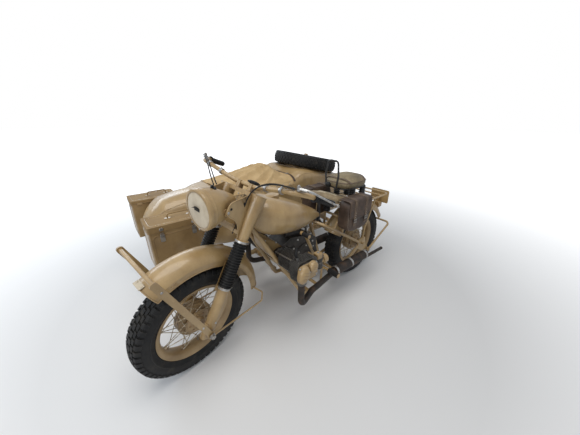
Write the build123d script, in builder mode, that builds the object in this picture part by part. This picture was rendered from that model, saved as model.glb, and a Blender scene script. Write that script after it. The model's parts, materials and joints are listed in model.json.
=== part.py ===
from build123d import *
import os
from math import cos, radians, sin, tan

# Sizes are in millimetres. Points are written from the rear axle: x forward, y to the rider's left
# from the motorcycle's centre plane, z up from the floor. Two values place that point in the model.
REAR_AXLE_X = -583
BIKE_Y = 395

# Running gear
WHEELBASE = 1444
TYRE_RADIUS = 325
TYRE_HALF_WIDTH = 59
TYRE_SHOULDER = 50
RIM_RADIUS = 223
RIM_HALF_WIDTH = 42
RIM_WALL = 4
BEAD_GAP = 0.7
SPOKE_RADIUS = 2.4
SPOKES_PER_ROW = 9
AXLE_RADIUS = 10
BEARING_GAP = 0.5
HUB_HALF_WIDTH = 60
DRUM_RADIUS = 98
SIDECAR_TRACK = 1180

# Steering head and fork
RAKE = 27.5
BARS_TURNED = 12.5
AXLE_OFFSET = 70
LEG_OFFSET = 58
LEG_SPREAD = 118
AXLE_REACH = 172
STAND_HALF_WIDTH = 160
STEM_RADIUS = 17.5
HEAD_RADIUS = 28
LOWER_YOKE = 560
UPPER_YOKE = 745
YOKE_THICK = 20
SLIDER_RADIUS = 30
SLIDER_TOP = 249
GAITER_RADIUS = 36
GAITER_RIDGES = 11
SHROUD_FOOT_RADIUS = 28
SHROUD_TOP_RADIUS = 44
CLAMP_RADIUS = 36
CLAMP_DEPTH = 14
SHROUD_FOOT = 508
EAR_FOOT = 624
EAR_SPREAD = 100

# Frame
TUBE = 14
STAY = 12
HEAD_JOINT = (1082, 0, 838)
CRADLE_FRONT_X = 757
CRADLE_HALF_WIDTH = 160
CRADLE_Z = 205
STAY_HALF_WIDTH = 97
SEAT_JOINT = (560, 0, 668)
TOP_TUBE = 18
RACK_Z = 740
RACK_HALF_WIDTH = 135
SADDLE_BRIDGE_X = 290
STAND_PIVOT_X = -95
STAND_PIVOT_Z = 235
PLATE_THICK = 14

# Engine
CRANK_X = 890
CRANK_Z = 540
CYLINDER_TILT = 5
CASE_HALF_WIDTH = 78
BARREL_RADIUS = 30
BOSS_RADIUS = 42
BOSS_REACH = 82
FIN_RADIUS = 60
FIN_PITCH = 9
FIN_THICK = 3
FIN_COUNT = 14
FIN_START = 141
HEAD_START = 270
HEAD_LENGTH = 72
COVER_DEPTH = 38
RIB_RISE = 4
RIB_THICK = 4
HEAD_FIN_PITCH = 12
HEAD_FIN_COUNT = 6
PORT_X = 905
PORT_Z = 490
CARB_X = 742
PIPE_Z = 300
SILENCER_FRONT = 480
SILENCER_Y = 205
SILENCER_RADIUS = 36

# Mudguards
GUARD_SKIN = 2.5
FRONT_GUARD_RADIUS = 435
REAR_GUARD_RADIUS = 392
GUARD_HALF_WIDTH = 76
GUARD_DROP = 52
GUARD_SKIRT = 28

# Sidecar body and its frame: the body fills the width between the motorcycle and its own wheel
BIKE_ROOM = 452
WHEEL_ROOM = 132
BODY_HALF = (SIDECAR_TRACK - BIKE_ROOM - WHEEL_ROOM) / 2
SIDECAR_Y = -BIKE_ROOM - BODY_HALF
NOSE_HALF = 170
BODY_SKIN = 3
FLOOR_Z = 372
DECK_TOP_X = 200
DECK_TOP_Z = 898
DECK_END_X = -430
TILT_DOWN = 12.5
COCKPIT_FRONT = 960
COCKPIT_REAR = 330
COCKPIT_HALF_WIDTH = BODY_HALF - 103
COCKPIT_CORNER = 110
BOOT_FRONT = 180
BOOT_REAR = -400
BOOT_HALF_WIDTH = BODY_HALF - 110
BOOT_CORNER = 40
PANEL_SEAM = BODY_HALF - 126
POST_OFFSET = BODY_HALF - 148
LID_LAP = 14
SOFT_GAP = 0.4
RAIL_HALF_WIDTH = BODY_HALF + 2
RAIL_RADIUS = 20
RAIL_Z = 270
RAIL_FRONT = 950
RAIL_REAR = -250
TIE_HOLE_RADIUS = 9
TIE_THICK = 14
CROSS_TUBE_RADIUS = 24

# Nose boxes
BOX_LENGTH = 330
BOX_WIDTH = 195
BOX_FLOOR = 450
BOX_TOP = 750
BOX_CENTRE_X = 1355
NOSE_GAP = 27.5
BOX_OFFSET = NOSE_HALF + NOSE_GAP + BOX_WIDTH / 2
BOX_SKIN = 2
LID_DEPTH = 38
LID_GAP = 1


def place(x, y, z):
    return Vector(REAR_AXLE_X + x, BIKE_Y + y, z)


def side(y=0):
    return Plane(origin=place(0, y, 0), x_dir=(1, 0, 0), z_dir=(0, -1, 0))


def level(z, x=0, y=0):
    return Plane(origin=place(x, y, z))


def cross(x):
    return Plane(origin=place(x, 0, 0), x_dir=(0, 1, 0), z_dir=(1, 0, 0))


def across(x, y, z):
    return Plane(origin=place(x, y, z), x_dir=(1, 0, 0), z_dir=(0, 1, 0))


# The steering axis passes AXLE_OFFSET behind the front axle, leaning back by the rake.
lean = radians(RAKE)
head_axis = Vector(-sin(lean), 0, cos(lean))
head_ahead = Vector(cos(lean), 0, sin(lean))
head_foot = place(WHEELBASE, 0, TYRE_RADIUS) - head_ahead * AXLE_OFFSET
turned = (
    Location(head_foot)
    * Location((0, 0, 0), (head_axis.X, head_axis.Y, head_axis.Z), BARS_TURNED)
    * Location(-head_foot)
)
HEAD = Plane(origin=head_foot, x_dir=head_ahead, z_dir=head_axis)


def steered(plane):
    return Plane(turned * plane.location)


def steered_point(x, y, z):
    return (turned * Location(place(x, y, z))).position


FORK = steered(HEAD)


def bar(*points, radius, bend=0.0, mode=Mode.ADD):
    with BuildLine() as route:
        if bend:
            FilletPolyline(*points, radius=bend)
        else:
            Polyline(*points)
    with BuildSketch(Plane(route.line @ 0, z_dir=route.line % 0)) as section:
        Circle(radius)
    sweep(section.sketch, path=route.line, mode=mode)


def save(piece, name):
    piece.label = name
    export_step(piece, f"parts/{name}.step")


os.makedirs("parts", exist_ok=True)

# Spoke rows: radius and height at the hub, height at the rim, start angle, sweep to the rim
rim_floor = RIM_RADIUS - 25
spokes = []
for hub_r, hub_z, rim_z, start, lead in (
    (DRUM_RADIUS - 2, -34, -8, 0, 34),
    (DRUM_RADIUS - 2, -34, -8, 20, -34),
    (70, 32.5, 8, 10, 48),
    (70, 32.5, 8, 30, -48),
):
    foot = Vector(hub_r, 0, hub_z)
    tip_r = rim_floor - RIM_WALL + 1
    run = Vector(tip_r * cos(radians(lead)), tip_r * sin(radians(lead)), rim_z) - foot
    spokes.append((start, extrude(Plane(foot, z_dir=run) * RegularPolygon(SPOKE_RADIUS, 4), run.length)))

# Wheel: rolled steel rim, drum hub and crossed wire spokes; all four wheels are the same
with BuildPart() as wheel:
    with BuildSketch(Plane.XZ):
        with BuildLine():
            Polyline(
                (RIM_RADIUS, RIM_HALF_WIDTH),
                (RIM_RADIUS, RIM_HALF_WIDTH - RIM_WALL),
                (rim_floor + 8, RIM_HALF_WIDTH - RIM_WALL - 2),
                (rim_floor + 2, 20),
                (rim_floor, 0),
                (rim_floor + 2, -20),
                (rim_floor + 8, -RIM_HALF_WIDTH + RIM_WALL + 2),
                (RIM_RADIUS, -RIM_HALF_WIDTH + RIM_WALL),
                (RIM_RADIUS, -RIM_HALF_WIDTH),
                (rim_floor + 4, -RIM_HALF_WIDTH + 1),
                (rim_floor - RIM_WALL, -20),
                (rim_floor - RIM_WALL - 2, 0),
                (rim_floor - RIM_WALL, 20),
                (rim_floor + 4, RIM_HALF_WIDTH - 1),
                close=True,
            )
        make_face()
    revolve(axis=Axis.Z)
    with BuildSketch(Plane.XZ):
        with BuildLine():
            Polyline(
                (AXLE_RADIUS + BEARING_GAP, -HUB_HALF_WIDTH),
                (24, -HUB_HALF_WIDTH),
                (24, -48),
                (DRUM_RADIUS - 12, -48),
                (DRUM_RADIUS, -40),
                (DRUM_RADIUS, 14),
                (60, 26),
                (60, 30),
                (72, 30),
                (72, 35),
                (56, 35),
                (34, 42),
                (30, HUB_HALF_WIDTH),
                (AXLE_RADIUS + BEARING_GAP, HUB_HALF_WIDTH),
                close=True,
            )
        make_face()
    revolve(axis=Axis.Z)
    for start, spoke in spokes:
        with PolarLocations(0, SPOKES_PER_ROW, start_angle=start):
            add(spoke)

# Tyre: a closed casing out to the tips of its tread blocks
bead_half = RIM_HALF_WIDTH - RIM_WALL - BEAD_GAP
with BuildPart() as tyre:
    with BuildSketch(Plane.XZ):
        with BuildLine():
            Polyline(
                (RIM_RADIUS + SOFT_GAP, -bead_half),
                (rim_floor + 9, 0),
                (RIM_RADIUS + SOFT_GAP, bead_half),
                (RIM_RADIUS + 38, TYRE_HALF_WIDTH),
                (TYRE_RADIUS - 9, TYRE_SHOULDER),
                (TYRE_RADIUS, 14),
                (TYRE_RADIUS, -14),
                (TYRE_RADIUS - 9, -TYRE_SHOULDER),
                (RIM_RADIUS + 38, -TYRE_HALF_WIDTH),
                close=True,
            )
        make_face()
    revolve(axis=Axis.Z)

spare_centre = (-80, SIDECAR_Y, 918)
spare_tilt = Plane(origin=place(*spare_centre)).rotated((0, TILT_DOWN * -1, 0))
wheel_planes = {
    "front": steered(across(WHEELBASE, 0, TYRE_RADIUS)),
    "rear": across(0, 0, TYRE_RADIUS),
    "sidecar": across(0, -SIDECAR_TRACK, TYRE_RADIUS),
    "spare": spare_tilt,
}
for name, plane in wheel_planes.items():
    save(plane.location * wheel.part, f"{name}_wheel")
    save(plane.location * tyre.part, f"{name}_tyre")

# Fork: two telescopic legs held by a lower and an upper yoke on the steering stem
with BuildPart() as fork_sliders:
    for hand in (1, -1):
        with BuildSketch(FORK.offset(-16)):
            with Locations((LEG_OFFSET, hand * LEG_SPREAD)):
                Circle(SLIDER_RADIUS)
        extrude(amount=SLIDER_TOP + 16)
        with BuildSketch(FORK.offset(-45)):
            with Locations((AXLE_OFFSET - 2, hand * LEG_SPREAD)):
                RectangleRounded(46, 34, 12)
        extrude(amount=90)
        leg_foot = FORK.from_local_coords((0, hand * LEG_SPREAD, 0))
        web = Plane(leg_foot, x_dir=FORK.x_dir, z_dir=-FORK.y_dir)
        with BuildSketch(web):
            with BuildLine():
                Polyline(
                    (LEG_OFFSET, SLIDER_TOP - 6),
                    (LEG_OFFSET - 40, SLIDER_TOP - 46),
                    (LEG_OFFSET - 58, 140),
                    (LEG_OFFSET - 52, 70),
                    (LEG_OFFSET - 20, -10),
                    (LEG_OFFSET, -10),
                    close=True,
                )
            make_face()
        extrude(amount=7, both=True)
    axle_plane = Plane(FORK.from_local_coords((AXLE_OFFSET, 0, 0)), x_dir=FORK.x_dir, z_dir=FORK.y_dir)
    with BuildSketch(axle_plane.offset(-AXLE_REACH)):
        Circle(AXLE_RADIUS)
    extrude(amount=2 * AXLE_REACH)
    for hand in (1, -1):
        with BuildSketch(FORK.offset(SLIDER_TOP - 34)):
            with Locations((LEG_OFFSET, hand * (GUARD_HALF_WIDTH + 8))):
                Rectangle(36, 16)
        extrude(amount=30)
        with BuildSketch(FORK.offset(SLIDER_TOP - 34)):
            with Locations((LEG_OFFSET, hand * (GUARD_HALF_WIDTH + 2))):
                Rectangle(36, 4)
        extrude(amount=165)
fork_sliders.part.label = "fork_sliders"
export_step(fork_sliders.part, "parts/fork_sliders.step")

with BuildPart() as fork_gaiters:
    for hand in (1, -1):
        leg = Plane(
            FORK.from_local_coords((LEG_OFFSET, hand * LEG_SPREAD, SLIDER_TOP)),
            x_dir=FORK.y_dir,
            z_dir=FORK.x_dir,
        )
        pitch = (SHROUD_FOOT - SLIDER_TOP) / GAITER_RIDGES
        with BuildSketch(leg):
            with BuildLine():
                edge = [(0, 0), (GAITER_RADIUS - 7, 0)]
                for ridge in range(GAITER_RIDGES):
                    edge.append((GAITER_RADIUS, (ridge + 0.5) * pitch))
                    edge.append((GAITER_RADIUS - 7, (ridge + 1) * pitch))
                edge.append((0, SHROUD_FOOT - SLIDER_TOP))
                Polyline(*edge, close=True)
            make_face()
        revolve(axis=Axis(leg.origin, leg.y_dir))
fork_gaiters.part.label = "fork_gaiters"
export_step(fork_gaiters.part, "parts/fork_gaiters.step")

with BuildPart() as fork_shrouds:
    for hand in (1, -1):
        leg = Plane(
            FORK.from_local_coords((LEG_OFFSET, hand * LEG_SPREAD, SHROUD_FOOT)),
            x_dir=FORK.y_dir,
            z_dir=FORK.x_dir,
        )
        cover_length = UPPER_YOKE + YOKE_THICK - SHROUD_FOOT
        with BuildSketch(leg):
            with BuildLine():
                Polyline(
                    (0, 0),
                    (CLAMP_RADIUS, 0),
                    (CLAMP_RADIUS, CLAMP_DEPTH),
                    (SHROUD_FOOT_RADIUS, CLAMP_DEPTH + 3),
                    (SHROUD_TOP_RADIUS, cover_length - YOKE_THICK),
                    (SHROUD_TOP_RADIUS, cover_length),
                    (0, cover_length),
                    close=True,
                )
            make_face()
        revolve(axis=Axis(leg.origin, leg.y_dir))
        with BuildSketch(FORK.offset(EAR_FOOT)):
            with Locations((LEG_OFFSET + 80, hand * EAR_SPREAD)):
                Rectangle(136, 8)
        extrude(amount=44)
    for height in (LOWER_YOKE - YOKE_THICK, UPPER_YOKE):
        with BuildSketch(FORK.offset(height)):
            with Locations((LEG_OFFSET, 0)):
                RectangleRounded(50, 2 * LEG_SPREAD, 20)
            Circle(34)
            with Locations((LEG_OFFSET / 2, 0)):
                Rectangle(LEG_OFFSET, 56)
        extrude(amount=YOKE_THICK)
    with BuildSketch(FORK.offset(LOWER_YOKE - YOKE_THICK)):
        Circle(STEM_RADIUS)
    extrude(amount=UPPER_YOKE - LOWER_YOKE + 2 * YOKE_THICK)
fork_shrouds.part.label = "fork_shrouds"
export_step(fork_shrouds.part, "parts/fork_shrouds.step")

# Handlebar: one wide swept tube in a clamp on the upper yoke
GRIP_RADIUS = 17
GRIP_CAP = 4
BAR_RADIUS = 12
grip_inner = (1021, 396, 1065)
grip_outer = (886, 440, 1004)
with BuildPart() as handlebar:
    points = []
    for hand in (1, -1):
        inner = steered_point(grip_inner[0], hand * grip_inner[1], grip_inner[2])
        outer = steered_point(grip_outer[0], hand * grip_outer[1], grip_outer[2])
        half_bar = [outer - (outer - inner).normalized() * (GRIP_CAP + BEAD_GAP), inner]
        for x, y, z in ((1092, 330, 1085), (1085, 150, 1050), (1060, 90, 1022)):
            half_bar.append(steered_point(x, hand * y, z))
        points = points + half_bar[::hand]
    bar(*points, radius=BAR_RADIUS, bend=40)
    for hand in (1, -1):
        with BuildSketch(FORK.offset(UPPER_YOKE + YOKE_THICK)):
            with Locations((50, hand * 45)):
                RectangleRounded(40, 26, 8)
        extrude(amount=42)
    with BuildSketch(FORK.offset(UPPER_YOKE + YOKE_THICK)):
        Circle(20)
    extrude(amount=32)
handlebar.part.label = "handlebar"
export_step(handlebar.part, "parts/handlebar.step")

with BuildPart() as hand_grips:
    for hand in (1, -1):
        inner = steered_point(grip_inner[0], hand * grip_inner[1], grip_inner[2])
        outer = steered_point(grip_outer[0], hand * grip_outer[1], grip_outer[2])
        along = (outer - inner).normalized()
        bar(inner + along * 14, outer, radius=GRIP_RADIUS)
        bar(inner, outer - along * GRIP_CAP, radius=BAR_RADIUS + SOFT_GAP, mode=Mode.SUBTRACT)
hand_grips.part.label = "hand_grips"
export_step(hand_grips.part, "parts/hand_grips.step")

with BuildPart() as hand_levers:
    for hand in (1, -1):
        ends = [(1067, 353, 1106), (1050, 408, 1100), (930, 486, 1024)]
        points = [steered_point(p[0], hand * p[1], p[2]) for p in ends]
        bar(*points, radius=6, bend=24)
        with Locations(points[-1]):
            Sphere(9)
        bar(steered_point(1067, hand * 353, 1113), steered_point(1067, hand * 353, 1092.4), radius=8)
hand_levers.part.label = "hand_levers"
export_step(hand_levers.part, "parts/hand_levers.step")

# Headlamp: a deep spun shell with a black-out disc held by a clamp ring
LAMP_X = 1336
LAMP_Z = 958
LAMP_RADIUS = 104
LAMP_DEPTH = 190
lamp_face = steered(
    Plane(origin=place(LAMP_X, 0, LAMP_Z), x_dir=(0, 1, 0), z_dir=(1, 0, 0))
)
lamp_section = Plane(lamp_face.origin, x_dir=lamp_face.x_dir, z_dir=-lamp_face.y_dir)
with BuildPart() as headlamp_shell:
    with BuildSketch(lamp_section):
        with BuildLine():
            Polyline(
                (0, -LAMP_DEPTH),
                (22, -LAMP_DEPTH),
                (36, -LAMP_DEPTH + 16),
                (64, -LAMP_DEPTH + 62),
                (84, -LAMP_DEPTH + 104),
                (96, -44),
                (LAMP_RADIUS - 3, -16),
                (LAMP_RADIUS - 3, -0.3),
                (0, -0.3),
                close=True,
            )
        make_face()
    revolve(axis=Axis(lamp_face.origin, lamp_face.z_dir))
    lug_centre = lamp_face.from_local_coords((0, 0, -70))
    lamp_lug = Plane(lug_centre, x_dir=lamp_face.z_dir, z_dir=lamp_face.x_dir)
    with BuildSketch(lamp_lug.offset(4 - EAR_SPREAD)):
        Circle(12)
    extrude(amount=2 * EAR_SPREAD - 8)
headlamp_shell.part.label = "headlamp_shell"
export_step(headlamp_shell.part, "parts/headlamp_shell.step")

with BuildPart() as headlamp_cover:
    with BuildSketch(lamp_section):
        with BuildLine():
            face_line = [(LAMP_RADIUS, 0), (LAMP_RADIUS, 12), (LAMP_RADIUS - 8, 16), (0, 20)]
            Polyline((0, 0), *face_line, close=True)
        make_face()
    revolve(axis=Axis(lamp_face.origin, lamp_face.z_dir))
    with BuildSketch(lamp_face.offset(18)):
        with Locations((0, 12)):
            RectangleRounded(46, 16, 5)
    extrude(amount=14)
headlamp_cover.part.label = "headlamp_cover"
export_step(headlamp_cover.part, "parts/headlamp_cover.step")

def guard(plane, crown, start, sweep_angle):
    """A rolled mudguard: a deep curved skin turned about the wheel's axle."""
    section = Plane(plane.location * Location((0, 0, 0), (0, 0, 1), start) * Plane.XZ.location)
    edge = crown - GUARD_DROP
    inner = crown - GUARD_SKIN
    half = GUARD_HALF_WIDTH
    with BuildSketch(section) as skin:
        with BuildLine():
            over = ThreePointArc((edge, -half), (crown, 0), (edge, half))
            tip = Line(over @ 1, (edge - GUARD_SKIRT, half))
            back = Line(tip @ 1, (edge - GUARD_SKIRT, half - GUARD_SKIN))
            rise = Line(back @ 1, (edge, half - GUARD_SKIN))
            under = ThreePointArc(rise @ 1, (inner, 0), (edge, -half + GUARD_SKIN))
            fall = Line(under @ 1, (edge - GUARD_SKIRT, -half + GUARD_SKIN))
            foot = Line(fall @ 1, (edge - GUARD_SKIRT, -half))
            Line(foot @ 1, over @ 0)
        make_face()
    revolve(skin.sketch, axis=Axis(plane.origin, plane.z_dir), revolution_arc=sweep_angle)


front_hub = steered(across(WHEELBASE, 0, TYRE_RADIUS))
with BuildPart() as front_mudguard:
    guard(front_hub, FRONT_GUARD_RADIUS, -60, -118)
    for hand in (1, -1):
        ends = [(1448, 140.4, 281), (1058, 140.4, 262), (1040, 125, 312), (1078, 75, 350)]
        points = [steered_point(p[0], hand * p[1], p[2]) for p in ends]
        bar(*points, radius=5, bend=14)
front_mudguard.part.label = "front_mudguard"
export_step(front_mudguard.part, "parts/front_mudguard.step")

# Front stand: a flat bar bent into a U, pivoted on the axle's ends and clipped over the guard
STAND_REACH = 520
STAND_ANGLE = 67
with BuildPart() as front_stand:
    arm = Plane(front_hub.location * Location((0, 0, 0), (0, 0, 1), -STAND_ANGLE))
    half = STAND_HALF_WIDTH
    for hand in (1, -1):
        with BuildSketch(arm.offset(hand * half - 4)):
            with Locations((STAND_REACH / 2, 0)):
                SlotCenterToCenter(STAND_REACH, 30)
            Circle(20)
            Circle(AXLE_RADIUS + BEARING_GAP, mode=Mode.SUBTRACT)
        extrude(amount=8)
    with BuildSketch(arm.offset(-half)):
        with Locations((STAND_REACH, 0)):
            Circle(9)
    extrude(amount=2 * half)
front_stand.part.label = "front_stand"
export_step(front_stand.part, "parts/front_stand.step")

# Frame: brazed tubular double cradle with a rigid rear end and the rear axle
head_bore = STEM_RADIUS + BEARING_GAP
with BuildPart() as frame:
    with BuildSketch(HEAD.offset(LOWER_YOKE + 2)):
        Circle(HEAD_RADIUS)
    extrude(amount=UPPER_YOKE - LOWER_YOKE - 4)
    bar(place(*HEAD_JOINT), place(*SEAT_JOINT), radius=TOP_TUBE)
    bar(place(*SEAT_JOINT), place(400, 0, CRADLE_Z), radius=TUBE)
    for hand in (1, -1):
        bar(
            place(1090, hand * 20, 822),
            place(1062, hand * 52, 770),
            place(CRADLE_FRONT_X, hand * CRADLE_HALF_WIDTH, CRADLE_Z + 10),
            place(CRADLE_FRONT_X - 70, hand * CRADLE_HALF_WIDTH, CRADLE_Z),
            place(330, hand * 130, CRADLE_Z),
            place(48, hand * STAY_HALF_WIDTH, TYRE_RADIUS - 22),
            radius=TUBE,
            bend=24,
        )
        bar(
            place(*SEAT_JOINT),
            place(500, hand * STAY_HALF_WIDTH, 640),
            place(48, hand * STAY_HALF_WIDTH, TYRE_RADIUS + 26),
            radius=STAY,
            bend=30,
        )
        with BuildSketch(side(hand * STAY_HALF_WIDTH)):
            with BuildLine():
                Polyline(
                    (-44, 371),
                    (44, 371),
                    (52, 325),
                    (44, 279),
                    (STAND_PIVOT_X + 30, 215),
                    (STAND_PIVOT_X, 213),
                    (STAND_PIVOT_X - 22, STAND_PIVOT_Z),
                    (STAND_PIVOT_X, 262),
                    (-60, 300),
                    close=True,
                )
            make_face()
        extrude(amount=PLATE_THICK / 2, both=True)
        with BuildSketch(side(hand * (STAY_HALF_WIDTH - 7))):
            with Locations((STAND_PIVOT_X, STAND_PIVOT_Z)):
                Circle(8)
        extrude(amount=-hand * 44)
        bar(
            place(SADDLE_BRIDGE_X, hand * STAY_HALF_WIDTH, 516),
            place(SADDLE_BRIDGE_X, hand * 92, 640),
            radius=10,
        )
        rack_foot = place(345, hand * RACK_HALF_WIDTH, RACK_Z - 7)
        bar(place(400, hand * STAY_HALF_WIDTH, 581), rack_foot, radius=6.5)
    for x, half_width in ((CRADLE_FRONT_X - 60, CRADLE_HALF_WIDTH), (600, 152), (360, 132)):
        bar(
            place(x, -half_width, CRADLE_Z),
            place(x, half_width, CRADLE_Z),
            radius=STAY,
        )
    bar(place(SADDLE_BRIDGE_X, -92, 640), place(SADDLE_BRIDGE_X, 92, 640), radius=10)
    with BuildSketch(side(STAY_HALF_WIDTH + 30)):
        with Locations((0, TYRE_RADIUS)):
            Circle(AXLE_RADIUS)
    extrude(amount=2 * STAY_HALF_WIDTH + 30)
    with BuildSketch(HEAD.offset(LOWER_YOKE)):
        Circle(head_bore)
    extrude(amount=UPPER_YOKE - LOWER_YOKE, mode=Mode.SUBTRACT)
frame.part.label = "frame"
export_step(frame.part, "parts/frame.step")

# Engine: crankcase and gearbox in one casting, standing on two feet on the cross tubes
crank = place(CRANK_X, 0, CRANK_Z)
cylinder_lean = radians(CYLINDER_TILT)


def bore_plane(hand, reach):
    out = Vector(0, hand * cos(cylinder_lean), sin(cylinder_lean))
    return Plane(crank + out * reach, x_dir=(1, 0, 0), z_dir=out)


cover_line = [(770, 352), (785, 455), (825, 550), (870, 600)]
with BuildPart() as engine_block:
    with BuildSketch(side()):
        with BuildLine():
            floor_line = [(560, 330), (610, 290), (745, 290)]
            Polyline(*floor_line, *cover_line, (800, 632), (610, 600), (560, 560), close=True)
        make_face()
    extrude(amount=CASE_HALF_WIDTH, both=True)
    with BuildSketch(side()):
        with Locations((668, 440)):
            Circle(112)
    extrude(amount=CASE_HALF_WIDTH + 8, both=True)
    for x in (CRADLE_FRONT_X - 60, 600):
        with BuildSketch(level(CRADLE_Z + STAY, x)):
            Rectangle(34, 90)
        extrude(amount=100)
    with BuildSketch(bore_plane(1, 0), bore_plane(-1, 0)):
        Circle(BOSS_RADIUS)
    extrude(amount=BOSS_REACH)
engine_block.part.label = "engine_block"
export_step(engine_block.part, "parts/engine_block.step")

# Front engine cover: the leaf-shaped casing that closes the crankcase behind the down tubes
with BuildPart() as engine_front_cover:
    with BuildSketch(side()):
        with BuildLine():
            Polyline(*cover_line, (930, 652), (1006, 692), (985, 606), (872, 432), close=True)
        make_face()
    extrude(amount=60, both=True)
    chamfer(engine_front_cover.edges().filter_by(GeomType.LINE).group_by(Axis.Y)[-1], length=5)
    chamfer(engine_front_cover.edges().filter_by(GeomType.LINE).group_by(Axis.Y)[0], length=5)
    with BuildSketch(side()):
        with Locations((CRANK_X, CRANK_Z)):
            Circle(BOSS_RADIUS + 6)
    extrude(amount=70, both=True, mode=Mode.SUBTRACT)
engine_front_cover.part.label = "engine_front_cover"
export_step(engine_front_cover.part, "parts/engine_front_cover.step")

# Cylinders: a finned barrel and head on each side, with the carburettor bolted behind the head
for hand, name in ((1, "left_cylinder"), (-1, "right_cylinder")):
    fin_planes = [bore_plane(hand, FIN_START + fin * FIN_PITCH) for fin in range(FIN_COUNT)]
    head_planes = [bore_plane(hand, HEAD_START + 2 + fin * HEAD_FIN_PITCH) for fin in range(HEAD_FIN_COUNT)]
    head_y = (HEAD_START + HEAD_LENGTH / 2) * cos(cylinder_lean)
    head_z = CRANK_Z + (HEAD_START + HEAD_LENGTH / 2) * sin(cylinder_lean)
    with BuildPart() as cylinder:
        with BuildSketch(bore_plane(hand, BOSS_REACH)):
            RegularPolygon(BARREL_RADIUS + 1.5, 14)
        extrude(amount=8)
        with BuildSketch(bore_plane(hand, BOSS_REACH + 8)):
            RegularPolygon(BARREL_RADIUS, 14)
        extrude(amount=HEAD_START - BOSS_REACH - 8)
        with BuildSketch(*fin_planes):
            RegularPolygon(FIN_RADIUS, 14)
        extrude(amount=FIN_THICK)
        with BuildSketch(bore_plane(hand, HEAD_START)):
            RectangleRounded(96, 96, 20)
        extrude(amount=HEAD_LENGTH)
        with BuildSketch(*head_planes):
            Rectangle(150, 132)
        extrude(amount=FIN_THICK)
        with BuildSketch(level(PORT_Z, PORT_X, hand * head_y)):
            Circle(26)
        extrude(amount=36)
        with BuildSketch(cross(CARB_X)):
            with Locations((hand * head_y, head_z)):
                Circle(21)
        extrude(amount=CRANK_X - 40 - CARB_X)
        with BuildSketch(level(head_z - 52, CARB_X + 26, hand * head_y)):
            Circle(24)
        extrude(amount=96)
    save(cylinder.part, name)

# Rocker covers: one cast lid a side with two lobes, one over each valve
for hand, name in ((1, "left_rocker_cover"), (-1, "right_rocker_cover")):
    lid_plane = bore_plane(hand, HEAD_START + HEAD_LENGTH)
    with BuildPart() as rocker_cover:
        for x, drop, wide, high in ((50, -2, 37, 54), (-22, -24, 33, 34)):
            with BuildSketch(lid_plane):
                with Locations(Location((x, hand * drop, 0), (0, 0, 1), hand * -24)):
                    Ellipse(wide, high)
            extrude(amount=COVER_DEPTH, taper=9)
        with BuildSketch(lid_plane):
            with Locations((10, 0)):
                RectangleRounded(138, 96, 24)
        extrude(amount=10)
        with BuildSketch(lid_plane):
            for x, drop in ((61, 22), (50, -2), (39, -26), (-17, -13), (-27, -35)):
                with Locations(Location((x, hand * drop, 0), (0, 0, 1), hand * -24)):
                    Rectangle(62, RIB_THICK)
        extrude(amount=COVER_DEPTH + RIB_RISE)
    save(rocker_cover.part, name)

# Exhausts: a pipe from each head down to a silencer, with a tail pipe under the axle tube
for hand, name in ((1, "left_exhaust"), (-1, "right_exhaust")):
    with BuildPart() as exhaust:
        bar(
            place(PORT_X, hand * head_y, PORT_Z - 0.3),
            place(PORT_X, hand * head_y, PIPE_Z),
            place(760, hand * 250, PIPE_Z),
            place(SILENCER_FRONT, hand * SILENCER_Y, PIPE_Z),
            radius=20,
            bend=52,
        )
        bar(
            place(SILENCER_FRONT, hand * SILENCER_Y, PIPE_Z),
            place(SILENCER_FRONT - 380, hand * SILENCER_Y, PIPE_Z),
            radius=SILENCER_RADIUS,
        )
        bar(
            place(SILENCER_FRONT - 380, hand * SILENCER_Y, PIPE_Z - 10),
            place(50, hand * SILENCER_Y, 262),
            place(-170, hand * SILENCER_Y, 258),
            radius=13,
            bend=30,
        )
        bar(
            place(420, hand * (SILENCER_Y - 30), PIPE_Z - 20),
            place(420, hand * 144, CRADLE_Z + 13),
            radius=7,
        )
    save(exhaust.part, name)

# Fuel tank: pressed halves welded round a tunnel that sits on the top tube
slope = (HEAD_JOINT[2] - SEAT_JOINT[2]) / (HEAD_JOINT[0] - SEAT_JOINT[0])
with BuildPart() as fuel_tank:
    for x, half, low, high, corner in (
        (1088, 60, 800, 902, 48),
        (1010, 118, 724, 936, 92),
        (890, 156, 690, 914, 100),
        (700, 128, 680, 838, 72),
        (500, 38, 686, 722, 17),
    ):
        with BuildSketch(cross(x)):
            with Locations((0, (low + high) / 2)):
                RectangleRounded(2 * half, high - low, corner)
    loft()
    with BuildSketch(side()):
        with BuildLine():
            roof = TOP_TUBE + 1
            Polyline(
                (530, 600),
                (530, SEAT_JOINT[2] + (530 - SEAT_JOINT[0]) * slope + roof),
                (1110, SEAT_JOINT[2] + (1110 - SEAT_JOINT[0]) * slope + roof),
                (1110, 600),
                close=True,
            )
        make_face()
    extrude(amount=TOP_TUBE + 0.3, both=True, mode=Mode.SUBTRACT)
    with BuildSketch(HEAD.offset(LOWER_YOKE - 40)):
        Circle(HEAD_RADIUS + 6)
    extrude(amount=UPPER_YOKE - LOWER_YOKE + 80, mode=Mode.SUBTRACT)
    for hand in (1, -1):
        bar(
            place(1094, hand * 16, 830),
            place(1062, hand * 52, 770),
            place(CRADLE_FRONT_X, hand * CRADLE_HALF_WIDTH, CRADLE_Z + 10),
            radius=TUBE + 2,
            bend=24,
            mode=Mode.SUBTRACT,
        )
    with BuildSketch(level(900, 880)):
        Circle(38)
    extrude(amount=26)
fuel_tank.part.label = "fuel_tank"
export_step(fuel_tank.part, "parts/fuel_tank.step")

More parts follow.
